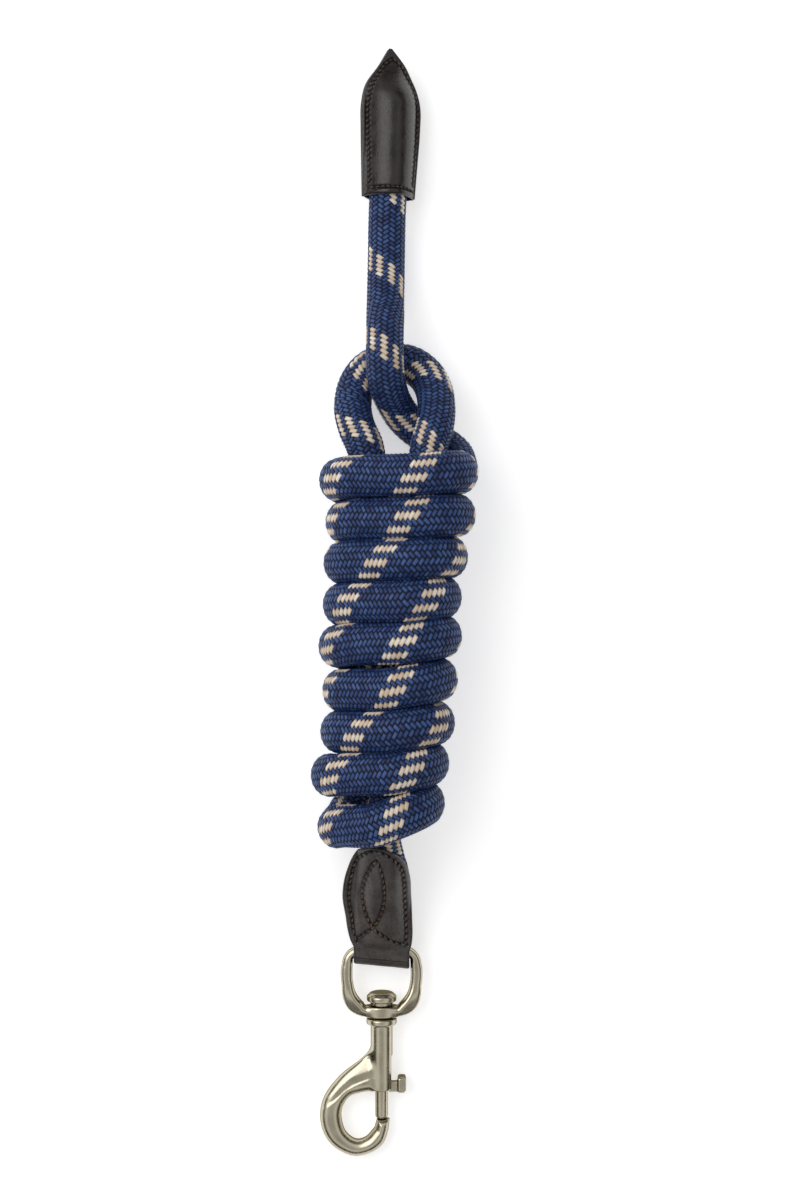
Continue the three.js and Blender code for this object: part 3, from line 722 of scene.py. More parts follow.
def plan_field(outline, margin=4.0, step=0.2):
    """Signed distance in the plane to a closed outline, negative inside it, looked up from a fine table."""
    low = outline.min(0) - margin
    axes = [np.arange(low[k], outline[:, k].max() + margin, step) for k in range(2)]
    x, y = np.meshgrid(*axes, indexing="ij")
    best = np.full(x.shape, 1e9)
    inside = np.zeros(x.shape, bool)
    for (ax, ay), (bx, by) in zip(outline, np.roll(outline, -1, 0)):
        ex, ey = bx - ax, by - ay
        t = np.clip(((x - ax) * ex + (y - ay) * ey) / (ex * ex + ey * ey + 1e-12), 0, 1)
        best = np.minimum(best, (x - ax - t * ex) ** 2 + (y - ay - t * ey) ** 2)
        crosses = (ay > y) != (by > y)
        if ay != by:
            inside ^= crosses & (x < ax + ex * (y - ay) / ey)
    table = np.sqrt(best) * np.where(inside, -1, 1)

    def at(px, py):
        u = np.clip((px - low[0]) / step, 0, table.shape[0] - 1.001)
        v = np.clip((py - low[1]) / step, 0, table.shape[1] - 1.001)
        i, j = u.astype(int), v.astype(int)
        u, v = u - i, v - j
        left = table[i, j] * (1 - v) + table[i, j + 1] * v
        right = table[i + 1, j] * (1 - v) + table[i + 1, j + 1] * v
        return left * (1 - u) + right * u

    return at


def plate(plan, z, half, rounding):
    """Distance to a flat plate of a given plan with rounded edges."""
    out, up = plan + rounding, np.abs(z) - (half - rounding)
    corner = np.sqrt(np.maximum(out, 0) ** 2 + np.maximum(up, 0) ** 2)
    return corner + np.minimum(np.maximum(out, up), 0) - rounding


def drum(p, radius, bottom, top, rounding, squash=1.0):
    """Distance to a round drum along Y with rounded rims."""
    out = np.sqrt(p[..., 0] ** 2 + (p[..., 2] / squash) ** 2) - radius
    return plate(out, p[..., 1] - (bottom + top) / 2, (top - bottom) / 2, rounding)


def block(p, low, high, rounding):
    centre = (np.array(low) + np.array(high)) / 2
    half = (np.array(high) - np.array(low)) / 2 - rounding
    q = np.abs(p - centre) - half
    return np.linalg.norm(np.maximum(q, 0), axis=-1) + np.minimum(q.max(-1), 0) - rounding


def join(a, b, blend):
    """Union of two distances with a fillet."""
    share = np.maximum(blend - np.abs(a - b), 0) / blend
    return np.minimum(a, b) - share * share * blend / 4


def cut(a, b, blend):
    """The first body without the second, with an eased edge."""
    return -join(-a, b, blend)


def snap_place(p):
    cos, sin = math.cos(SNAP_TILT), math.sin(SNAP_TILT)
    turned = np.stack([p[:, 0], p[:, 1] * cos - p[:, 2] * sin, p[:, 1] * sin + p[:, 2] * cos], 1)
    return turned + np.array(EYE_BAR)


def bezier(p0, p1, p2, p3, steps=14):
    t = np.linspace(0, 1, steps, endpoint=False)[:, None]
    p0, p1, p2, p3 = (np.array(p, float) for p in (p0, p1, p2, p3))
    return p0 * (1 - t) ** 3 + 3 * p1 * t * (1 - t) ** 2 + 3 * p2 * t * t * (1 - t) + p3 * t ** 3


def eye_outline(grow, corner):
    half = EYE_INNER_HALF + grow
    top = EYE_BAR_THICK * (grow / EYE_ARM - 0.5)
    bowl = -24.4 - 0.86 * grow
    right = [(half - corner, top), (half - 0.45 * corner, top), (half - 0.075 * corner, top - 0.5 * corner), (half - 0.05 * corner, top - corner)]
    arm = [right[3], (half + 0.3, top - 9.5), (half + 0.2, -12), (half - 0.4, -15.2)]
    low = [arm[3], (half - 1.2 + 0.16 * grow, -20.5 - 0.80 * grow), (half - 5 + 0.22 * grow, bowl + 1.6 - 0.24 * grow), (7, bowl)]
    side = np.vstack([bezier(*right), bezier(*arm), bezier(*low), [(7, bowl)]])
    return np.vstack([side, side[::-1] * [-1, 1]])


def make_eye(material):
    outer = plan_field(eye_outline(EYE_ARM, 8.0))
    inner = plan_field(eye_outline(0, 1.0))

    def distance(p):
        x, y, z = p[..., 0], p[..., 1], p[..., 2]
        outside, hole = outer(x, y), inner(x, y)
        ring = np.maximum(outside, -hole)
        arm = plate(ring, z, EYE_ARM / 2, 2.35)
        # The bowl carries a ridge nearer to its inner edge, with a slope each side of it.
        low = smoothstep(-y, 13, 23)
        depth = np.maximum(hole, 0)
        slopes = -join(4.7 - np.abs(z) - 0.5 * depth, 2.2 - np.abs(z) + 0.9 * depth, 1.2) / 1.15
        bowl = cut(slopes, -ring, 1.0)
        body = arm + (bowl - arm) * low
        boss = drum(p, BOSS_R, BOSS_BOTTOM - 0.0, BOSS_TOP - 0.2, 0.9, BOSS_THICK / (2 * BOSS_R))
        chamfer = (np.abs(x) * 0.55 + np.abs(z) - 7.0) / 1.14
        boss = np.maximum(boss, chamfer)
        body = join(body, boss, 1.6)
        head_room = block(p, (-7.7, BOSS_TOP, -9), (7.7, BOSS_TOP + 9, 9), 0.4)
        face = (BOSS_BOTTOM - y) - 8 * smoothstep(np.abs(x), 8.0, 11.0)
        body = cut(body, head_room, 0.5)
        body = np.maximum(body, face)
        return cut(body, drum(p, RIVET_SHANK_R + 0.3, -40, -10, 0.1), 0.4)

    points, quads = surface_of(distance, (-19.5, -31.5, -7), (19.5, 4, 7), METAL_STEP)
    make_piece("swivel_eye_cast", snap_place(points), quads, material, "eye", "nickel", ["swivel_eye"])


def make_snap_body(material):
    outer_side = curve_through([
        (-9.6, -48.8), (-18.5, -55.8), (-25.4, -64.6), (-27.7, -73.0), (-26.4, -81.4), (-21.6, -88.2),
        (-13.0, -92.4), (-4.8, -90.9), (0.8, -86.6), (3.1, -80.6),
    ])
    inner_side = curve_through([
        (-3.2, -79.6), (-7.2, -84.0), (-11.9, -84.9), (-16.3, -81.2), (-18.1, -74.8), (-17.3, -69.6), (-14.0, -65.2),
        (-8.9, -63.5),
    ])
    root = [(-2.0, -42.6), (-5.2, -44.6)]
    hook = plan_field(np.vstack([root, outer_side, [(3.6, HOOK_SEAT), (-2.1, HOOK_SEAT)], inner_side, [(-2, -62.3)]]))
    wing = plan_field(np.array([
        (-3.5, -56.5), (-8.5, -58.2), (-12.6, -60.0), (-16.2, -62.6), (-19.2, -65.5), (-22.2, -67.8), (-27.5, -71.0),
        (-36.0, -76.0), (-45.0, -60.0), (-30.0, -30.0), (6.0, -30.0), (6.0, -55.0),
    ]), margin=16.0)

    def distance(p):
        x, y, z = p[..., 0], p[..., 1], p[..., 2]
        plan = hook(x, y)
        # The wing lies a little lower than the ring, flat at first and then thinner towards its outer edge.
        inward = -wing(x, y) - 3.6
        thin = 0.5 * smoothstep(inward, -4.2, -2.4) + 0.2 * (np.sqrt(inward ** 2 + 0.5) + inward)
        half = HOOK_THICK / 2 - np.clip(thin, 0, 2.6)
        body = plate(plan, z, half, np.minimum(4.2, half))
        barrel = drum(p, BARREL_R, BARREL_END, COLLAR_BOTTOM + 1, 0.7)
        collar = drum(p, COLLAR_R, COLLAR_BOTTOM, COLLAR_TOP, 0.9)
        body = join(body, barrel, 2.4)
        body = join(body, collar, 0.8)
        body = cut(body, drum(p, BORE_R, BARREL_END - 3, COLLAR_TOP + 3, 0.1), 0.4)
        body = cut(body, block(p, (0, BARREL_END - 3, -1.8), (9, -46.8, 1.8), 0.5), 0.5)
        return cut(body, block(p, (MOUTH_LEFT, BOLT_TIP, -9), (9, BARREL_END, 9), 0.2), 0.5)

    points, quads = surface_of(distance, (-29.5, -94.5, -7.5), (8, -28.5, 7.5), METAL_STEP)
    make_piece("snap_body_cast", snap_place(points), quads, material, "snap", "nickel", ["snap_body"])


def make_turned(name, profile, rounding, body, replaced, material, sides=96):
    """A piece turned on a lathe along Y, from (radius, y) pairs, each corner rounded off."""
    profile = np.array(profile, float)
    rounded = [profile[0]]
    for before, corner, after in zip(profile, profile[1:], profile[2:]):
        reach = min(rounding, np.linalg.norm(before - corner) / 2.2, np.linalg.norm(after - corner) / 2.2)
        start, end = corner + reach * unit(before - corner), corner + reach * unit(after - corner)
        for t in np.linspace(0, 1, 6):
            rounded.append(start * (1 - t) ** 2 + 2 * corner * t * (1 - t) + end * t * t)
    rounded.append(profile[-1])
    rings = np.array(rounded)[1:-1]
    angle = np.arange(sides) * 2 * math.pi / sides
    circle = np.stack([np.cos(angle), np.zeros(sides), -np.sin(angle)], 1)
    points = (rings[:, None, :1] * circle[None] + np.stack([0 * rings[:, 1], rings[:, 1], 0 * rings[:, 1]], 1)[:, None]).reshape(-1, 3)
    here = np.arange(len(rings) - 1)[:, None] * sides + np.arange(sides)
    beside = np.arange(len(rings) - 1)[:, None] * sides + (np.arange(sides) + 1) % sides
    quads = np.stack([here, beside, beside + sides, here + sides], 2).reshape(-1, 4)
    caps = [np.arange(sides)[::-1], (len(rings) - 1) * sides + np.arange(sides)]
    return make_piece(name, snap_place(points), quads, material, body, "nickel", replaced, caps)


def make_knob(material):
    def distance(p):
        y = p[..., 1]
        ribs = 0.16 * np.cos(2 * math.pi * (y - KNOB_TOP) / 1.1) * smoothstep(p[..., 0], 9.6, 10.4)
        pad = block(p, (KNOB_INNER, KNOB_BOTTOM, -KNOB_THICK / 2), (KNOB_OUTER, KNOB_TOP, KNOB_THICK / 2), 1.35)
        pad = pad + 0.16 + ribs
        stem = block(p, (BOLT_R + 0.3, KNOB_BOTTOM + 0.2, -STEM_THICK / 2), (KNOB_INNER + 1, STEM_TOP, STEM_THICK / 2), 0.35)
        return join(pad, stem, 0.9)

    points, quads = surface_of(distance, (2.4, -65, -5), (12, -55, 5), 0.2)
    make_piece("thumb_knob_cast", snap_place(points), quads, material, "bolt", "nickel", ["thumb_knob"])


def paint_flank_shade(piece):
    """Marks the flanks of a nickel piece, its sideways-facing surfaces, which its material paints darker as painted
    shade and makes rougher.
    """
    normals = np.empty(len(piece.data.vertices) * 3)
    piece.data.vertices.foreach_get("normal", normals)
    flank = 1 - smoothstep(np.abs(normals.reshape(-1, 3)[:, 2]), 0.05, 0.5)
    paint(piece, np.stack([flank, 0 * flank, 0 * flank], 1))


def nickel_material():
    n = Nodes("polished_nickel")
    place = n.add("ShaderNodeTexCoord").outputs["Object"]
    cloud = n.add("ShaderNodeTexNoise", {"Vector": place, "Scale": 90.0, "Detail": 4.0, "Roughness": 0.6}).outputs[0]
    grain = n.add("ShaderNodeTexNoise", {"Vector": place, "Scale": 1500.0, "Detail": 3.0}).outputs[0]
    ripple = n.add("ShaderNodeTexNoise", {"Vector": place, "Scale": 240.0, "Detail": 1.0}).outputs[0]
    wear_and_shade = n.add("ShaderNodeAttribute", attribute_name="wear_and_shade")
    side = n.add("ShaderNodeSeparateColor", {"Color": wear_and_shade.outputs["Color"]}).outputs["Red"]
    bright = n.mix(n.between(cloud, 0.3, 0.7), (0.53, 0.475, 0.355, 1), (0.64, 0.585, 0.45, 1))
    # Painted shade: the flanks are painted dark, so their reflections come out dim.
    n.feed(n.shader.inputs["Base Color"], n.mix(side, bright, (0.20, 0.17, 0.115, 1)))
    n.shader.inputs["Metallic"].default_value = 1.0
    n.shader.inputs["Specular Tint"].default_value = (0.5, 0.47, 0.38, 1)
    rough = n.between(n.maths("ADD", cloud, n.maths("MULTIPLY", grain, 0.4)), 0.5, 0.95, 0.18, 0.31)
    n.feed(n.shader.inputs["Roughness"], n.maths("ADD", rough, n.maths("MULTIPLY", side, 0.16)))
    heights = n.maths("ADD", n.maths("MULTIPLY", ripple, 1.0), n.maths("MULTIPLY", grain, 0.06))
    bump = n.add("ShaderNodeBump", {"Height": heights, "Strength": 0.2, "Distance": 0.0001})
    n.feed(n.shader.inputs["Normal"], bump.outputs[0])
    return n.material


def make_snap():
    nickel = nickel_material()
    make_eye(nickel)
    make_snap_body(nickel)
    make_knob(nickel)
    make_turned("swivel_rivet_turned", [
        (0, -36.0), (RIVET_SHANK_R, -36.0), (RIVET_SHANK_R, -23.8), (5.0, -23.8), (5.0, -22.3), (6.6, -22.0),
        (6.7, -19.9), (5.2, -18.4), (4.3, -18.1), (0, -18.1),
    ], 0.5, "snap", ["swivel_rivet"], nickel)
    make_turned("snap_bolt_turned", [
        (0, BOLT_TIP), (BOLT_R - 0.5, BOLT_TIP), (BOLT_R, BOLT_TIP + 0.8), (BOLT_R, BOLT_TOP), (0, BOLT_TOP),
    ], 0.4, "bolt", ["snap_bolt"], nickel)
    make_spring()


def make_spring():
    """The coil behind the bolt, running up towards the rivet's shank."""
    turn = np.linspace(0, 1, SPRING_COILS * SPRING_STEPS + 1)
    closed = 0.5 - 0.5 * np.cos(math.pi * turn)
    rise = SPRING_BOTTOM + (SPRING_TOP - SPRING_BOTTOM) * (0.7 * turn + 0.3 * closed)
    angle = 2 * math.pi * SPRING_COILS * turn
    centre = np.stack([SPRING_R * np.cos(angle), rise, SPRING_R * np.sin(angle)], 1)
    forward = unit(np.gradient(centre, axis=0))
    outward = np.stack([np.cos(angle), 0 * angle, np.sin(angle)], 1)
    beside = np.cross(forward, outward)
    around = np.arange(SPRING_SIDES) * 2 * math.pi / SPRING_SIDES
    ring = np.cos(around)[None, :, None] * outward[:, None] + np.sin(around)[None, :, None] * beside[:, None]
    points = (centre[:, None] + SPRING_WIRE_R * ring).reshape(-1, 3)
    quads, caps = tube_faces(len(turn), SPRING_SIDES)
    spring = make_piece(
        "bolt_spring_coil", snap_place(points), quads, steel_material(), "snap", "spring_steel", ["bolt_spring"], caps,
    )
    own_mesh(spring)


def tube_faces(rings, sides, first=0):
    """Quads and two end caps of a tube whose vertices run ring by ring."""
    here = first + np.arange(rings - 1)[:, None] * sides + np.arange(sides)
    beside = first + np.arange(rings - 1)[:, None] * sides + (np.arange(sides) + 1) % sides
    quads = np.stack([here, beside, beside + sides, here + sides], 2).reshape(-1, 4)
    caps = [first + np.arange(sides)[::-1], first + (rings - 1) * sides + np.arange(sides)]
    return quads, caps


def steel_material():
    n = Nodes("spring_steel")
    place = n.add("ShaderNodeTexCoord").outputs["Object"]
    drawn = n.add("ShaderNodeTexNoise", {"Vector": place, "Scale": 900.0, "Detail": 2.0}).outputs[0]
    n.feed(n.shader.inputs["Base Color"], n.mix(drawn, (0.30, 0.30, 0.31, 1), (0.46, 0.46, 0.47, 1)))
    n.shader.inputs["Metallic"].default_value = 1.0
    n.feed(n.shader.inputs["Roughness"], n.between(drawn, 0.3, 0.7, 0.28, 0.45))
    bump = n.add("ShaderNodeBump", {"Height": drawn, "Strength": 0.3, "Distance": 0.00005})
    n.feed(n.shader.inputs["Normal"], bump.outputs[0])
    return n.material


# ---- Leather ----
def leather_material(name, dark, light, gloss):
    """Dyed leather: pebbled grain, soft mottling, darker seams, stitch holes painted near black as painted shade,
    darker and glossier where edges rub.
    """
    n = Nodes(name)
    place = n.add("ShaderNodeTexCoord").outputs["Object"]
    wear_and_shade = n.add("ShaderNodeAttribute", attribute_name="wear_and_shade")
    split = n.add("ShaderNodeSeparateColor", {"Color": wear_and_shade.outputs["Color"]})
    edge, seam, hole = (split.outputs[k] for k in ("Red", "Green", "Blue"))
    warp = n.add("ShaderNodeTexNoise", {"Vector": place, "Scale": 700.0, "Detail": 2.0}).outputs["Color"]
    bent = n.add("ShaderNodeMix", data_type="VECTOR", factor_mode="UNIFORM")
    for key, item in ((0, 0.0007), (4, place), (5, warp)):
        n.feed(bent.inputs[key], item)
    pebble = n.add("ShaderNodeTexVoronoi", {"Vector": bent.outputs[1], "Scale": 1250.0}, feature="F1").outputs["Distance"]
    fine = n.add("ShaderNodeTexNoise", {"Vector": place, "Scale": 2600.0, "Detail": 3.0}).outputs[0]
    mottle = n.add("ShaderNodeTexNoise", {"Vector": place, "Scale": 130.0, "Detail": 4.0, "Roughness": 0.6}).outputs[0]
    crease = n.add("ShaderNodeTexNoise", {"Vector": place, "Scale": 320.0, "Detail": 2.0, "Distortion": 1.2}).outputs[0]
    base = n.mix(n.between(mottle, 0.3, 0.7), dark, light)
    base = n.mix(n.between(pebble, 0.45, 0.9, 0.0, 0.5), base, (0.006, 0.005, 0.0045, 1))
    rubbed = n.between(edge, 0.3, 0.9)
    base = n.mix(n.maths("MULTIPLY", rubbed, n.between(crease, 0.4, 0.65, 0.85, 0.45)), base, (0.010, 0.0075, 0.0065, 1))
    base = n.mix(n.between(seam, 0.2, 1.0, 0.0, 0.45), base, (0.008, 0.0065, 0.006, 1))
    # Painted shade: the stitch holes are painted near black.
    base = n.mix(n.between(hole, 0.2, 0.55, 0.0, 0.97), base, (0.0015, 0.0012, 0.001, 1))
    n.feed(n.shader.inputs["Base Color"], base)
    rough = n.maths("ADD", n.between(mottle, 0.3, 0.7, gloss, gloss + 0.12), n.between(pebble, 0.3, 0.9, 0.0, 0.12))
    rough = n.maths("SUBTRACT", rough, n.maths("MULTIPLY", rubbed, 0.1))
    n.feed(n.shader.inputs["Roughness"], n.maths("ADD", rough, n.between(hole, 0.2, 0.7, 0.0, 0.35)))
    n.shader.inputs["Specular IOR Level"].default_value = 0.5
    grain = n.maths("SUBTRACT", n.maths("MULTIPLY", fine, 0.35), n.maths("MULTIPLY", pebble, 1.0))
    grain = n.maths("ADD", grain, n.maths("MULTIPLY", crease, 0.9))
    bump = n.add("ShaderNodeBump", {"Height": grain, "Strength": 0.4, "Distance": 0.00013})
    n.feed(n.shader.inputs["Normal"], bump.outputs[0])
    return n.material


def thread_material():
    """Waxed thread: brown plies, rustier and greyer from stitch to stitch."""
    n = Nodes("waxed_thread")
    wear_and_shade = n.add("ShaderNodeAttribute", attribute_name="wear_and_shade")
    split = n.add("ShaderNodeSeparateColor", {"Color": wear_and_shade.outputs["Color"]})
    tone, ply, rust = (split.outputs[k] for k in ("Red", "Green", "Blue"))
    place = n.add("ShaderNodeTexCoord").outputs["Object"]
    fuzz = n.add("ShaderNodeTexNoise", {"Vector": place, "Scale": 3500.0, "Detail": 2.0}).outputs[0]
    grey = n.mix(tone, (0.055, 0.043, 0.037, 1), (0.15, 0.122, 0.105, 1))
    brown = n.mix(tone, (0.070, 0.030, 0.015, 1), (0.165, 0.075, 0.038, 1))
    base = n.mix(rust, grey, brown)
    # Painted shade: the grooves between the plies are painted near black.
    base = n.mix(n.between(ply, 0.0, 0.55, 0.75, 0.0), base, (0.008, 0.005, 0.004, 1))
    n.feed(n.shader.inputs["Base Color"], base)
    n.feed(n.shader.inputs["Roughness"], n.between(fuzz, 0.3, 0.7, 0.5, 0.75))
    bump = n.add("ShaderNodeBump", {"Height": fuzz, "Strength": 0.4, "Distance": 0.00005})
    n.feed(n.shader.inputs["Normal"], bump.outputs[0])
    return n.material


def paint(piece, values):
    """Store a colour for each vertex under the name the materials read."""
    colour = piece.data.attributes.new("wear_and_shade", "FLOAT_COLOR", "POINT")
    colour.data.foreach_set("color", np.concatenate([values, np.ones((len(values), 1))], 1).ravel())


def across_places(widest):
    """Places across a leaf from -1 to 1, closer together at the rounded edges."""
    fine = 1 - LEATHER_EDGE * np.linspace(0, 1, 7) ** 1.6 / widest
    inner = np.linspace(fine[-1], 0, int(round(widest * fine[-1] / LEAF_STEP)))
    half = np.concatenate([fine, inner[1:]])
    return np.concatenate([-half, half[-2::-1]])


def edge_thickness(distance):
    """Half thickness of leather at some distance from its cut edge, which is rubbed round."""
    t = np.clip(distance / LEATHER_EDGE, 0, 1)
    return LEATHER / 2 * np.sqrt(1 - (1 - t) ** 2)


def leaf_mesh(name, outer, inner, wear_and_shade, material, replaced):
    """A closed sheet from two grids of points that meet along their borders."""
    rows, columns = outer.shape[:2]
    number = np.arange(rows * columns).reshape(rows, columns)
    under = number + rows * columns
    rim = np.ones((rows, columns), bool)
    rim[1:-1, 1:-1] = False
    under[rim] = number[rim]
    used, numbers = np.unique(np.concatenate([number.ravel(), under.ravel()]), return_inverse=True)
    points = np.concatenate([outer.reshape(-1, 3), inner.reshape(-1, 3)])
    points[:rows * columns][rim.ravel()] = (outer[rim] + inner[rim]) / 2
    grids = numbers.reshape(2, rows, columns)
    quads = []
    for grid, order in ((grids[0], 1), (grids[1], -1)):
        quad = np.stack([grid[:-1, :-1], grid[:-1, 1:], grid[1:, 1:], grid[1:, :-1]], 2).reshape(-1, 4)
        quads.append(quad[:, ::order])
    piece = make_piece(name, points[used], np.concatenate(quads), material, ROPE_BODY, "leather", replaced)
    paint(piece, np.concatenate([wear_and_shade.reshape(-1, 3), wear_and_shade.reshape(-1, 3) * [1, 0, 0]])[used])
    return piece


def pressed(x, y, seams, padding):
    """How far a leaf's face stands up or is pulled in by its seams, and how dark it is there."""
    groove, hole = np.zeros(x.shape), np.zeros(x.shape)
    pad = np.ones(x.shape)
    for line, stitches in seams:
        away = nearest(x, y, even_steps(line, 0.5))
        groove = np.maximum(groove, np.exp(-(away / 0.75) ** 2))
        hole = np.maximum(hole, np.exp(-(nearest(x, y, stitches) / 0.7) ** 2))
        pad = pad * (1 - np.exp(-(away / 2.6) ** 2))
    rise = padding * pad - 0.42 * groove - 0.6 * hole
    return rise, groove, hole


def unevenness(x, y, seed):
    """Slow, shallow waves in a hand-worked sheet."""
    waves = np.zeros(np.shape(x))
    source = np.random.default_rng(seed)
    for _ in range(9):
        angle, size, start = source.random() * math.pi, 0.18 + 0.5 * source.random(), source.random() * 7
        waves = waves + np.sin((x * math.cos(angle) + y * math.sin(angle)) * size + start) / 9
    return waves


def stitch_row(name, line, spacing, at, material, replaced, rust, seed, slant=0.32, radius=THREAD_R, pale=1.0):
    """Separate slanting stitches along a seam, each diving into its holes. at(x, y, lift) places a point."""
    holes = even_steps(line, spacing)
    source = np.random.default_rng(seed)
    points, quads, polygons, colours = [], [], [], []
    count = 0
    steps, sides = STITCH_STEPS, STITCH_SIDES
    for first, second in zip(holes, holes[1:]):
        along = second - first
        aside = np.array([-along[1], along[0]]) / np.linalg.norm(along)
        start = first + 0.17 * along + slant * aside
        end = second - 0.17 * along - slant * aside
        t = np.linspace(0, 1, steps)
        plan = start + (end - start) * t[:, None]
        lift = -0.75 + 1.2 * np.sin(math.pi * t) ** 0.45
        centre = at(plan[:, 0], plan[:, 1], lift)
        forward = unit(np.gradient(centre, axis=0))
        up = unit(at(plan[:, 0], plan[:, 1], lift + 1) - centre)
        beside = unit(np.cross(forward, up))
        up = np.cross(beside, forward)
        angle = np.arange(sides) * 2 * math.pi / sides
        twist = 3 * (angle[None, :] - 1.1 * math.pi * t[:, None] * spacing / 2.85)
        ply = np.abs(np.cos(twist / 2))
        size = radius * (0.8 + 0.2 * ply) * (0.35 + 0.65 * np.sin(math.pi * np.clip(t, 0.02, 0.98)) ** 0.4)[:, None]
        ring = np.cos(angle)[None, :, None] * beside[:, None] + np.sin(angle)[None, :, None] * up[:, None]
        points.append((centre[:, None] + ring * size[:, :, None]).reshape(-1, 3))
        here = count + np.arange(steps - 1)[:, None] * sides + np.arange(sides)
        nearby = count + np.arange(steps - 1)[:, None] * sides + (np.arange(sides) + 1) % sides
        quads.append(np.stack([here, nearby, nearby + sides, here + sides], 2).reshape(-1, 4)[:, ::-1])
        polygons += [count + np.arange(sides), (count + (steps - 1) * sides + np.arange(sides))[::-1]]
        tone = np.full(ply.shape, pale * source.random())
        rusty = np.full(ply.shape, np.clip(rust(*((first + second) / 2)) + 0.3 * source.random() - 0.15, 0, 1))
        colours.append(np.stack([tone, ply, rusty], 2).reshape(-1, 3))
        count += steps * sides
    vertices = np.concatenate(points)
    piece = make_piece(name, vertices, np.concatenate(quads), material, ROPE_BODY, "thread", replaced, polygons)
    paint(piece, np.concatenate(colours))
    return piece


def lean(height, x, y):
    step = 0.05
    slope_x = (height(x + step, y) - height(x - step, y)) / (2 * step)
    slope_y = (height(x, y + step) - height(x, y - step)) / (2 * step)
    return np.sqrt(1 + slope_x ** 2 + slope_y ** 2)


# ---- Chape ----
chape_half_width = smooth_function([
    (0, 12.5), (2.5, 12.45), (4.4, 12.6), (7, 13.7), (11, 14.5), (18, 14.9), (29, 15.3), (41, 13.9), (51, 9.6), (56.4, 3.4),
])
chape_middle = smooth_function([(0, 0), (3.5, 0), (7, -0.3), (18, -1.1), (29, -2.0), (41, -1.5), (48, -1.2), (56.4, -1.4)])


def chape_height(x, y):
    """Height of the middle of a leaf over the plane between the two leaves."""
    seated = (LEATHER + SEAM_GAP) / 2
    rope_half = ROPE_D / 2 * (ROPE_FLAT + (1 - ROPE_FLAT) * smoothstep(y, ROPE_CUT, ROPE_FULL))
    bulge = (rope_half + 0.9 + LEATHER / 2 - seated) * smoothstep(y, ROPE_CUT - 8, ROPE_CUT - 1)
    off = np.minimum(1, np.abs(x - (-0.6 + (y - ROPE_CUT) * 0.071)) / CHAPE_COVER)
    fold = (FOLD_R - seated) * (1 - smoothstep(y, 0, FOLD_BLEND))
    return seated + fold + bulge * (1 - off * off)


def chape_place(points):
    points = np.asarray(points, float)
    cos, sin = math.cos(CHAPE_SLOPE), math.sin(CHAPE_SLOPE)
    x, z = points[..., 0], points[..., 2]
    y = points[..., 1] - (CHAPE_DROP + CHAPE_SKEW * x) * (1 - smoothstep(points[..., 1], 5, 35))
    return np.stack([x, y * cos - z * sin, y * sin + z * cos], -1) + np.array(EYE_BAR)


def chape_seams():
    low, high, apex = 7, 40, 55.4
    y = np.append(np.linspace(low, high, 40), high + (apex - high) * np.sin(np.linspace(0, math.pi / 2, 30)[1:]))
    taper = (1 - np.clip((y - high) / (apex - high), 0, 1) ** 2) ** 0.7
    half = (chape_half_width(np.minimum(y, high)) - CHAPE_SEAM_IN) * taper
    left = np.stack([chape_middle(y) - half, y], 1)
    right = np.stack([chape_middle(y) + half, y], 1)[::-1]
    edge = np.vstack([left, right[1:]])
    inner = curve_through(CHAPE_INNER_SEAM)
    return edge, inner


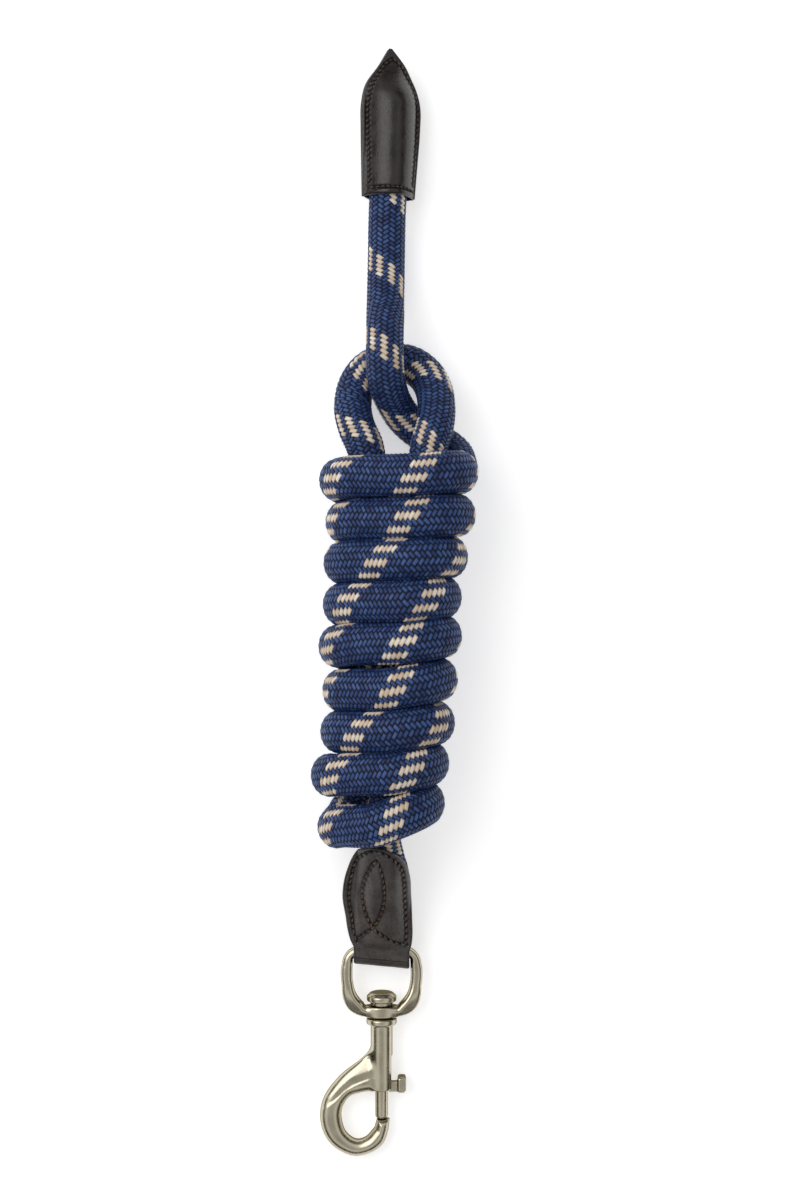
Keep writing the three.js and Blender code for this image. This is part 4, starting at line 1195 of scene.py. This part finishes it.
def make_chape(leather, thread):
    edge, inner = chape_seams()
    seams = [(line, even_steps(line, CHAPE_STITCH)) for line in (edge, inner)]
    across = across_places(15.3)
    fold_rows = np.linspace(0, math.pi, int(math.pi * FOLD_R / LEAF_STEP) + 1)[1:-1]
    tip = LEATHER_EDGE * np.linspace(0, 1, 7) ** 1.6
    leaf_rows = np.concatenate([CHAPE_LENGTH - tip, np.arange(CHAPE_LENGTH - LEATHER_EDGE - LEAF_STEP, 0, -LEAF_STEP), [0.0]])

    def leaf(y, side):
        y = y[:, None] + 0 * across[None, :]
        # The lower leaf keeps the fold's width for longer, which leaves room for the eye's arms to swing down.
        half_width = chape_half_width(y if side > 0 else y - LOWER_WAIST * (1 - smoothstep(y, 8, 20)))
        x = chape_middle(y) + across * half_width
        along = y if side > 0 else y * LOWER_LEAF_SHARE
        from_edge = np.minimum((1 - np.abs(across)) * half_width, CHAPE_LENGTH - y)
        half = edge_thickness(from_edge)
        rise, groove, hole = pressed(x, y, seams, 1.1)
        calm = smoothstep(from_edge, 0.3, 2.0) * smoothstep(y, 2, 9)
        rise = rise * calm + 0.22 * unevenness(x, y, 7 if side > 0 else 8) * smoothstep(from_edge, 0.3, 3.0)
        rise = rise - 0.45 * almond(x, y) * calm
        middle = chape_height(x, along)
        faces = [np.stack([x, along, side * (middle + half + rise)], -1), np.stack([x, along, side * (middle - half)], -1)]
        wear_and_shade = np.stack([1 - smoothstep(from_edge, 0.2, 1.8), groove * calm, hole * calm], -1)
        return faces[0], faces[1], wear_and_shade

    def fold(angle):
        angle = angle[:, None] + 0 * across[None, :]
        x = chape_middle(0) + across * (chape_half_width(0) + 0.05 * np.sin(angle))
        half = edge_thickness((1 - np.abs(across)) * chape_half_width(0))
        crease = 0.12 * unevenness(x, FOLD_R * angle, 9)
        faces = []
        for radius in (FOLD_R + half + crease, FOLD_R - half):
            faces.append(np.stack([x, -radius * np.sin(angle), radius * np.cos(angle)], -1))
        wear_and_shade = np.zeros((*angle.shape, 3))
        wear_and_shade[..., 0] = 1 - smoothstep((1 - np.abs(across)) * chape_half_width(0), 0.2, 1.8)
        wear_and_shade[..., 0] += 0.25 * np.sin(angle) ** 2
        return faces[0], faces[1], wear_and_shade

    upper, turn, lower = leaf(leaf_rows, 1), fold(fold_rows), leaf(leaf_rows[::-1], -1)
    outer, under, wear_and_shade = (np.concatenate([a, b, c]) for a, b, c in zip(upper, turn, lower))
    # Grid columns run from left to right, so the upper leaf's rows, which start at its tip, face up.
    leaf_mesh("chape_leather", chape_place(outer), chape_place(under), wear_and_shade, leather, ["chape_strap"])

    def rusty(x, y):
        return 0.9 * math.exp(-((y - 24) / 13) ** 2) * (1 if abs(x + 2) < 9 else 0.25)

    for side, hand in ((1, "needle"), (-1, "bobbin")):
        def at(x, y, lift, side=side):
            along = y if side > 0 else y * LOWER_LEAF_SHARE
            height = chape_height(x, along) + LEATHER / 2 + (lift - 0.1) * lean(chape_height, x, along)
            return chape_place(np.stack([x, along, side * height], -1))

        for seam, line in (("edge", edge), ("inner", inner)):
            stitch_row(
                f"chape_{seam}_{hand}_stitches", line, CHAPE_STITCH, at, thread, [f"chape_{seam}_{hand}_thread"], rusty,
                11 + side,
            )


def almond(x, y):
    """1 inside the almond of the inner seam, easing to 0 outside it."""
    middle = np.interp(y, [16, 33, 50], [-3.8, -3.5, -2.0])
    half = 5.0 * np.sqrt(np.clip(1 - ((y - 33.2) / 17.2) ** 2, 0, 1))
    return smoothstep(half - np.abs(x - middle), -1.0, 1.2)


# ---- Cap ----
cap_half_width = smooth_function([
    (0, 12.0), (14, 12.7), (31, 13.5), (41, 13.5), (49.4, 11.5), (55.4, 8.2), (61.4, 4.3), (66.4, 0.7),
])
cap_middle = smooth_function([(0, 0.3), (13, 0.4), (30, 0.5), (42, 0.3), (52, -0.2), (59, 0.3), (66.4, -0.8)])


def cap_height(x, y):
    seated = (LEATHER + SEAM_GAP) / 2
    fade = 1 - smoothstep(y, ROPE_IN_CAP - 2, CAP_LENGTH - 4)
    cover = np.minimum(CAP_COVER, np.maximum(1, cap_half_width(y) - 1))
    off = np.minimum(1, np.abs(x - cap_middle(y)) / cover)
    return seated + CAP_BULGE * fade * (1 - off * off)


def cap_place(points):
    points = np.asarray(points, float)
    turn = np.array(Matrix.Rotation(CAP_YAW, 3, "Z") @ Matrix.Rotation(CAP_ROLL, 3, "Y"))
    return points @ turn.T + np.array(CAP_HEM)


def make_cap(leather, thread):
    y = np.concatenate([np.linspace(CAP_HEM_IN + 2.5, CAP_APEX - 3, 40), [CAP_APEX]])
    left = np.stack([cap_middle(y) - np.maximum(cap_half_width(y) - CAP_SEAM_IN, 0), y], 1)
    right = np.stack([cap_middle(y) + np.maximum(cap_half_width(y) - CAP_SEAM_IN, 0), y], 1)[::-1]
    left[-1, 0] = right[0, 0] = cap_middle(CAP_APEX)
    edge = np.vstack([left, right[1:]])
    half = cap_half_width(CAP_HEM_IN) - CAP_SEAM_IN
    hem = np.stack([cap_middle(CAP_HEM_IN) + np.linspace(-half, half, 40), np.full(40, CAP_HEM_IN)], 1)
    seams = [(edge, even_steps(edge, CAP_STITCH)), (hem, even_steps(hem, HEM_STITCH))]
    across = across_places(13.5)
    end = LEATHER_EDGE * np.linspace(0, 1, 7) ** 1.6
    rows = np.concatenate([CAP_LENGTH - end, np.arange(CAP_LENGTH - LEATHER_EDGE - LEAF_STEP, LEATHER_EDGE, -LEAF_STEP), end[::-1]])
    y = rows[:, None] + 0 * across[None, :]
    x = cap_middle(y) + across * cap_half_width(y)
    from_edge = np.minimum((1 - np.abs(across)) * cap_half_width(y), np.minimum(CAP_LENGTH - y, y))
    thick = edge_thickness(from_edge)
    for side, leaf, hand in ((1, "front", "needle"), (-1, "back", "bobbin")):
        rise, groove, hole = pressed(x, y, seams, 0.35)
        calm = smoothstep(from_edge, 0.3, 1.6)
        rise = rise * calm + 0.2 * unevenness(x, y, 12 + side) * smoothstep(from_edge, 0.3, 3.0)
        middle = cap_height(x, y)
        outer = np.stack([x, y, side * (middle + thick + rise)], -1)
        inner = np.stack([x, y, side * (middle - thick)], -1)
        if side < 0:
            outer, inner = outer[::-1], inner[::-1]
        wear_and_shade = np.stack([1 - smoothstep(from_edge, 0.2, 1.8), groove * calm, hole * calm], -1)[::side]
        leaf_mesh(f"cap_{leaf}_leather", cap_place(outer), cap_place(inner), wear_and_shade, leather, [f"cap_{leaf}_leaf"])

        def at(x, y, lift, side=side):
            height = cap_height(x, y) + LEATHER / 2 + (lift - 0.1) * lean(cap_height, x, y)
            return cap_place(np.stack([x, y, side * height], -1))

        for seam, line, spacing in (("edge", edge, CAP_STITCH), ("hem", hem, HEM_STITCH)):
            stitch_row(
                f"cap_{seam}_{hand}_stitches", line, spacing, at, thread, [f"cap_{seam}_{hand}_thread"],
                lambda x, y: 0.1, 21 + side, slant=0.2, radius=0.34, pale=0.35,
            )


make_camera()
make_studio()
make_rope()
make_snap()
thread = thread_material()
make_chape(leather_material("leather_chape", (0.047, 0.040, 0.037, 1), (0.080, 0.069, 0.063, 1), 0.32), thread)
make_cap(leather_material("leather_cap", (0.016, 0.0105, 0.009, 1), (0.034, 0.025, 0.022, 1), 0.19), thread)
